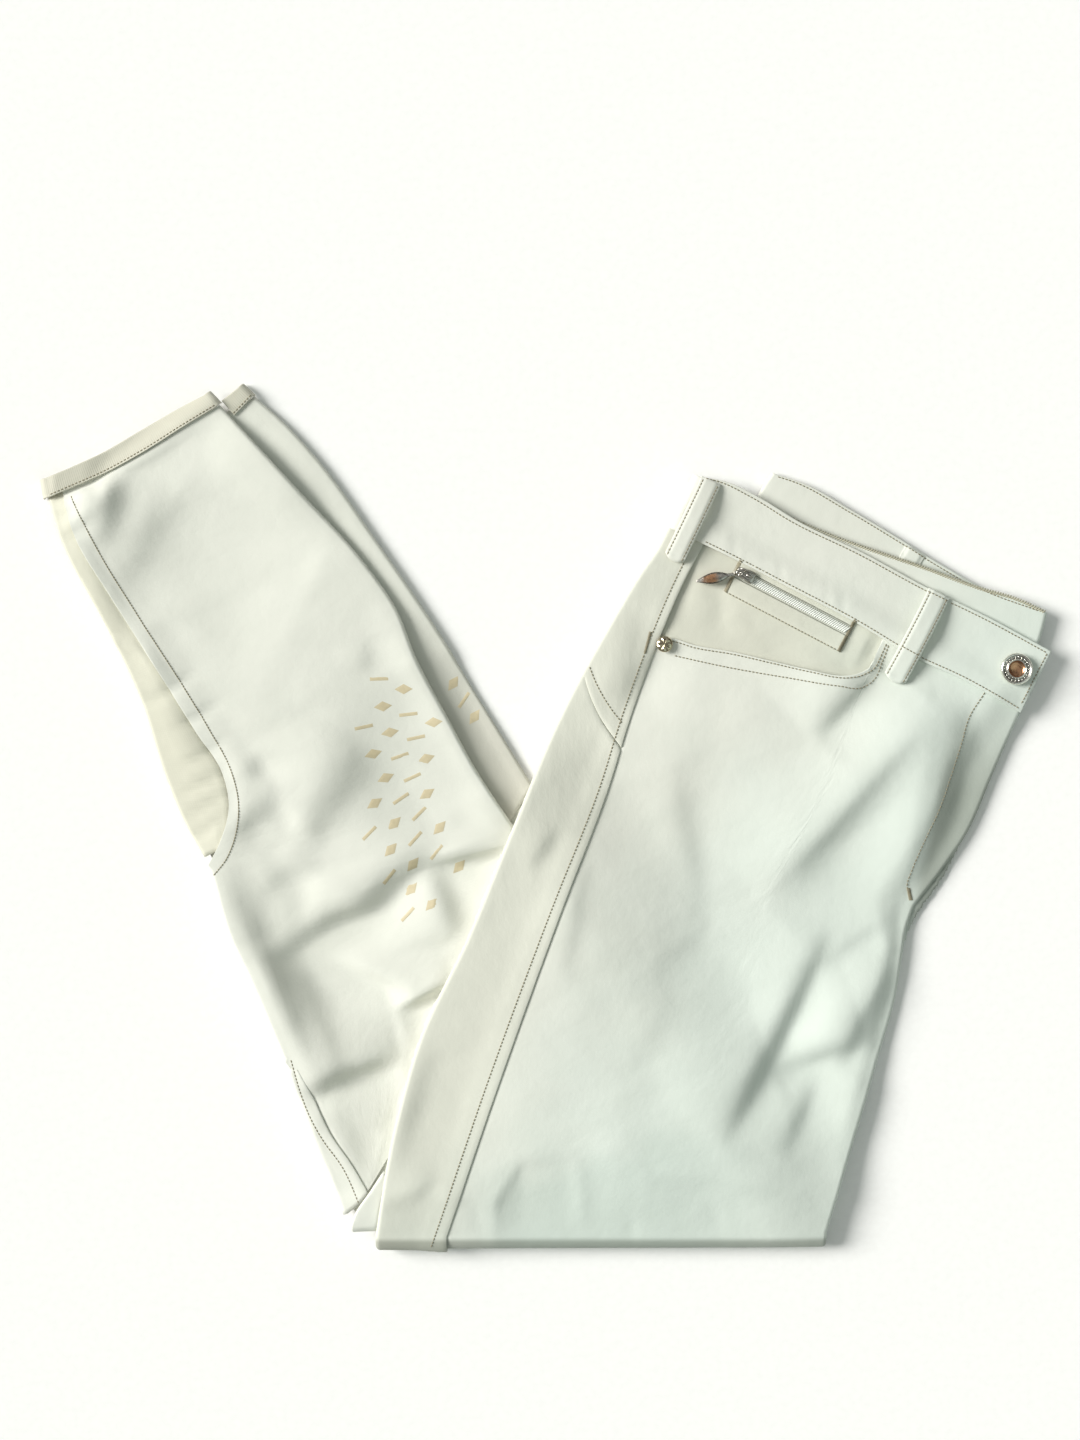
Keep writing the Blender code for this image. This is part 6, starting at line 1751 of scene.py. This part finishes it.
def zip_pull():
    """The leaf-shaped tab with the small loop that hangs from the bail."""
    spot = (*SLIDER_SPOT[:2], SLIDER_SPOT[2] + SLIDER_HEIGHT + BAIL_GRIP * BAIL_HEIGHT)
    parts = Gathered()
    ring = []
    for step in range(RING_STEPS + 1):
        angle = 2 * math.pi * step / RING_STEPS
        x, y = RING_MIDDLE + RING_HALF[0] * math.cos(angle), RING_HALF[1] * math.sin(angle)
        ring.append((x, y, 0, RING_WIRE))
    parts.placed_tube(ring, spot, PULL_HEADING, finish=1, tilt=PULL_TILT)
    # The leaf's finish takes its place along the pull in metres, and its share of the half width
    places = [(0, 0)] * len(parts.points)
    points = []
    for x, half, thick in PULL_STATIONS:
        for side in range(PULL_SIDES):
            angle = 2 * math.pi * side / PULL_SIDES
            level = thick * math.copysign(abs(math.sin(angle)) ** 0.75, math.sin(angle))
            points.append((x, half * math.cos(angle), level))
            places.append((x, abs(math.cos(angle)) / MM))
    marks = [int(x < LEAF_START) for x, _, _ in PULL_STATIONS[:-1] for _ in range(PULL_SIDES)] + [1, 0]
    faces = closed_rings(len(PULL_STATIONS), PULL_SIDES)
    parts.add(turned_points(points, spot, PULL_HEADING, PULL_TILT), faces, marks)
    parts.piece("zip_pull_metal", ["leaf", "dark_nickel"], node="zip_pull", slots="nickel", body=PULL_BODY,
                uv=places)


zip_slider()
zip_pull()


# ---------------------------------------------------------------- silicone print

# Height of the print above the cloth, in its middle and at its border, the fall that a mark can follow, and
# the cells along a mark's side
PRINT_LIFT = 0.16
PRINT_BORDER = 0.02
PRINT_FALL = 3.0
PRINT_CELLS = 6
# Half the length and width of a diamond and of a bar, and the print's least distance from the leg's edge
DIAMOND_HALF = (5.2, 2.9)
BAR_HALF = (5.2, 0.95)
PRINT_MARGIN = 7.0


def mark(marks, corners):
    """A quadrilateral of print that follows the cloth, from its four plan corners."""
    corners = np.array(corners, float)
    spots = np.linspace(0, 1, PRINT_CELLS + 1)
    u, v = np.meshgrid(spots, spots)
    plan = ((1 - u) * (1 - v))[..., None] * corners[0] + (u * (1 - v))[..., None] * corners[1] \
        + (u * v)[..., None] * corners[2] + ((1 - u) * v)[..., None] * corners[3]
    points = []
    for row in range(PRINT_CELLS + 1):
        for column in range(PRINT_CELLS + 1):
            x, y = plan[row, column]
            level = drop(x, y)
            if level is None:
                return
            border = row in (0, PRINT_CELLS) or column in (0, PRINT_CELLS)
            points.append((x, y, level + (PRINT_BORDER if border else PRINT_LIFT)))
    levels = [point[2] for point in points]
    if max(levels) - min(levels) > PRINT_FALL:
        return
    faces = grid_faces(PRINT_CELLS + 1, PRINT_CELLS + 1)
    marks.add(points, [face[::-1] for face in faces])


def silicone_print():
    """Staggered diamonds and short bars on the inside of the knee, for grip."""
    marks = Gathered()
    along_pitch, across_pitch = PRINT_PITCH
    path = Curve(PRINT_PATH)
    leg = Curve(LEFT_SHIN)
    rows = int(path.length / along_pitch)
    for row in range(rows):
        share = (row + 0.5) / rows
        middle, beside = path.at(share), path.normal(share)
        for column in (-1, 0, 1):
            number = 3 * row + column
            centre = middle + (column + 0.5 * (row % 2) - 0.25) * across_pitch * beside
            if leg.distance(*centre) < -PRINT_MARGIN:
                printed_shape(marks, centre, beside, number % 2 == 0)
    other = Curve(PRINT_OTHER_LEG)
    for number, share in enumerate((0.0, 0.5, 1.0)):
        printed_shape(marks, other.at(share), other.normal(share), number % 2 == 0)
    marks.piece("grip_print", ["print"], slots="elastic")


def printed_shape(marks, centre, beside, diamond):
    """A diamond or a short bar, slanted against the strip's own direction."""
    c, s = math.cos(PRINT_SLANT), math.sin(PRINT_SLANT)
    way = np.array([beside[0] * c - beside[1] * s, beside[0] * s + beside[1] * c])
    up = np.array([-way[1], way[0]])
    if diamond:
        long, wide = DIAMOND_HALF[0] * way, DIAMOND_HALF[1] * up
        mark(marks, [centre - long, centre - wide, centre + long, centre + wide])
    else:
        long, wide = BAR_HALF[0] * way, BAR_HALF[1] * up
        mark(marks, [centre - wide - long, centre - wide + long, centre + wide + long, centre + wide - long])


silicone_print()


# ---------------------------------------------------------------- floor, lights and camera

# Half the floor's side, and its level just under the breeches, in metres
FLOOR_REACH = 6.0
FLOOR_LEVEL = -0.0004


def floor():
    """A plain pale floor."""
    made = Finish("pale_floor", Specular_IOR_Level=0.2)
    spot = made.place("Object")
    grain = made.noise(spot, 260, 3.0)
    tint = made.mix(made.range(grain, 0, 1, *NOISE_SPAN), linear(COLOURS["floor"]),
                    linear(shaded(COLOURS["floor"], 0.985)))
    rough = made.range(grain, 0.8, 0.95)
    mesh = bpy.data.meshes.new("floor")
    corners = [(x * FLOOR_REACH, y * FLOOR_REACH, FLOOR_LEVEL)
               for x, y in ((-1, -1), (1, -1), (1, 1), (-1, 1))]
    mesh.from_pydata(corners, [], [(0, 1, 2, 3)])
    mesh.materials.append(made.link(Base_Color=tint, Roughness=rough, Normal=made.bump(grain, 0.0002, 0.2)))
    made = bpy.data.objects.new("floor", mesh)
    bpy.context.scene.collection.objects.link(made)


def sun(name, heading, elevation, strength, softness, colour):
    """Even light from a wide, distant source, with its angles in degrees."""
    lamp = bpy.data.lights.new(name, "SUN")
    lamp.energy = strength
    lamp.angle = math.radians(softness)
    lamp.color = colour
    made = bpy.data.objects.new(name, lamp)
    bpy.context.scene.collection.objects.link(made)
    level = math.cos(math.radians(elevation))
    from_light = Vector((math.cos(math.radians(heading)) * level, math.sin(math.radians(heading)) * level,
                         math.sin(math.radians(elevation))))
    made.rotation_euler = (-from_light).to_track_quat("-Z", "Y").to_euler()
    made.location = from_light


# Camera: its height, the middle and the height of the view at the garment's level, all in metres, and the
# height of its sensor in millimetres
CAMERA_DISTANCE = 1.5
CAMERA_CENTRE = (-0.0028, 0.0562)
FRAME_HEIGHT = 0.8136
SENSOR = 36.0
FOCUS_LEVEL = 0.01


def camera():
    """The camera looks straight down."""
    lens = bpy.data.cameras.new("camera")
    lens.sensor_fit = "VERTICAL"
    lens.sensor_height = SENSOR
    lens.lens = SENSOR * (CAMERA_DISTANCE - FOCUS_LEVEL) / FRAME_HEIGHT
    lens.clip_start = 0.05
    made = bpy.data.objects.new("camera", lens)
    made.location = (*CAMERA_CENTRE, CAMERA_DISTANCE)
    bpy.context.scene.collection.objects.link(made)
    bpy.context.scene.camera = made


# The way to the room's brightest side, its dark and bright colours, and the swing of the bands' strength
ROOM_WAY = (-0.62, 0.36, 0.7)
ROOM_LIGHT = ((0.1, (0.12, 0.112, 0.1, 1)), (0.9, (0.4, 0.412, 0.4, 1)))
ROOM_SWING = (0.55, 1.45)


def world():
    """A soft room: brighter towards the window and overhead, darker elsewhere, with slow bands of light."""
    made = bpy.data.worlds.new("studio")
    made.use_nodes = True
    tree = made.node_tree
    spot = tree.nodes.new("ShaderNodeTexCoord")
    turn = tree.nodes.new("ShaderNodeVectorMath")
    turn.operation = "DOT_PRODUCT"
    turn.inputs[1].default_value = Vector(ROOM_WAY).normalized()
    tree.links.new(spot.outputs["Generated"], turn.inputs[0])
    ramp = tree.nodes.new("ShaderNodeValToRGB")
    for stop, (position, colour) in zip(ramp.color_ramp.elements, ROOM_LIGHT):
        stop.position = position
        stop.color = colour
    tree.links.new(turn.outputs["Value"], ramp.inputs[0])
    bands = tree.nodes.new("ShaderNodeTexWave")
    bands.bands_direction = "DIAGONAL"
    bands.inputs["Scale"].default_value = 0.85
    bands.inputs["Distortion"].default_value = 2.5
    tree.links.new(spot.outputs["Generated"], bands.inputs["Vector"])
    swing = tree.nodes.new("ShaderNodeMapRange")
    swing.inputs["To Min"].default_value, swing.inputs["To Max"].default_value = ROOM_SWING
    tree.links.new(bands.outputs["Fac"], swing.inputs["Value"])
    tree.links.new(ramp.outputs[0], tree.nodes["Background"].inputs[0])
    tree.links.new(swing.outputs[0], tree.nodes["Background"].inputs[1])
    bpy.context.scene.world = made
    bpy.context.scene.view_settings.view_transform = "Standard"


floor()
sun("window", heading=166, elevation=31, strength=4.15, softness=28, colour=(1.0, 0.992, 0.955))
sun("bounce", heading=-35, elevation=48, strength=0.45, softness=60, colour=(0.78, 1.0, 0.93))
world()
camera()
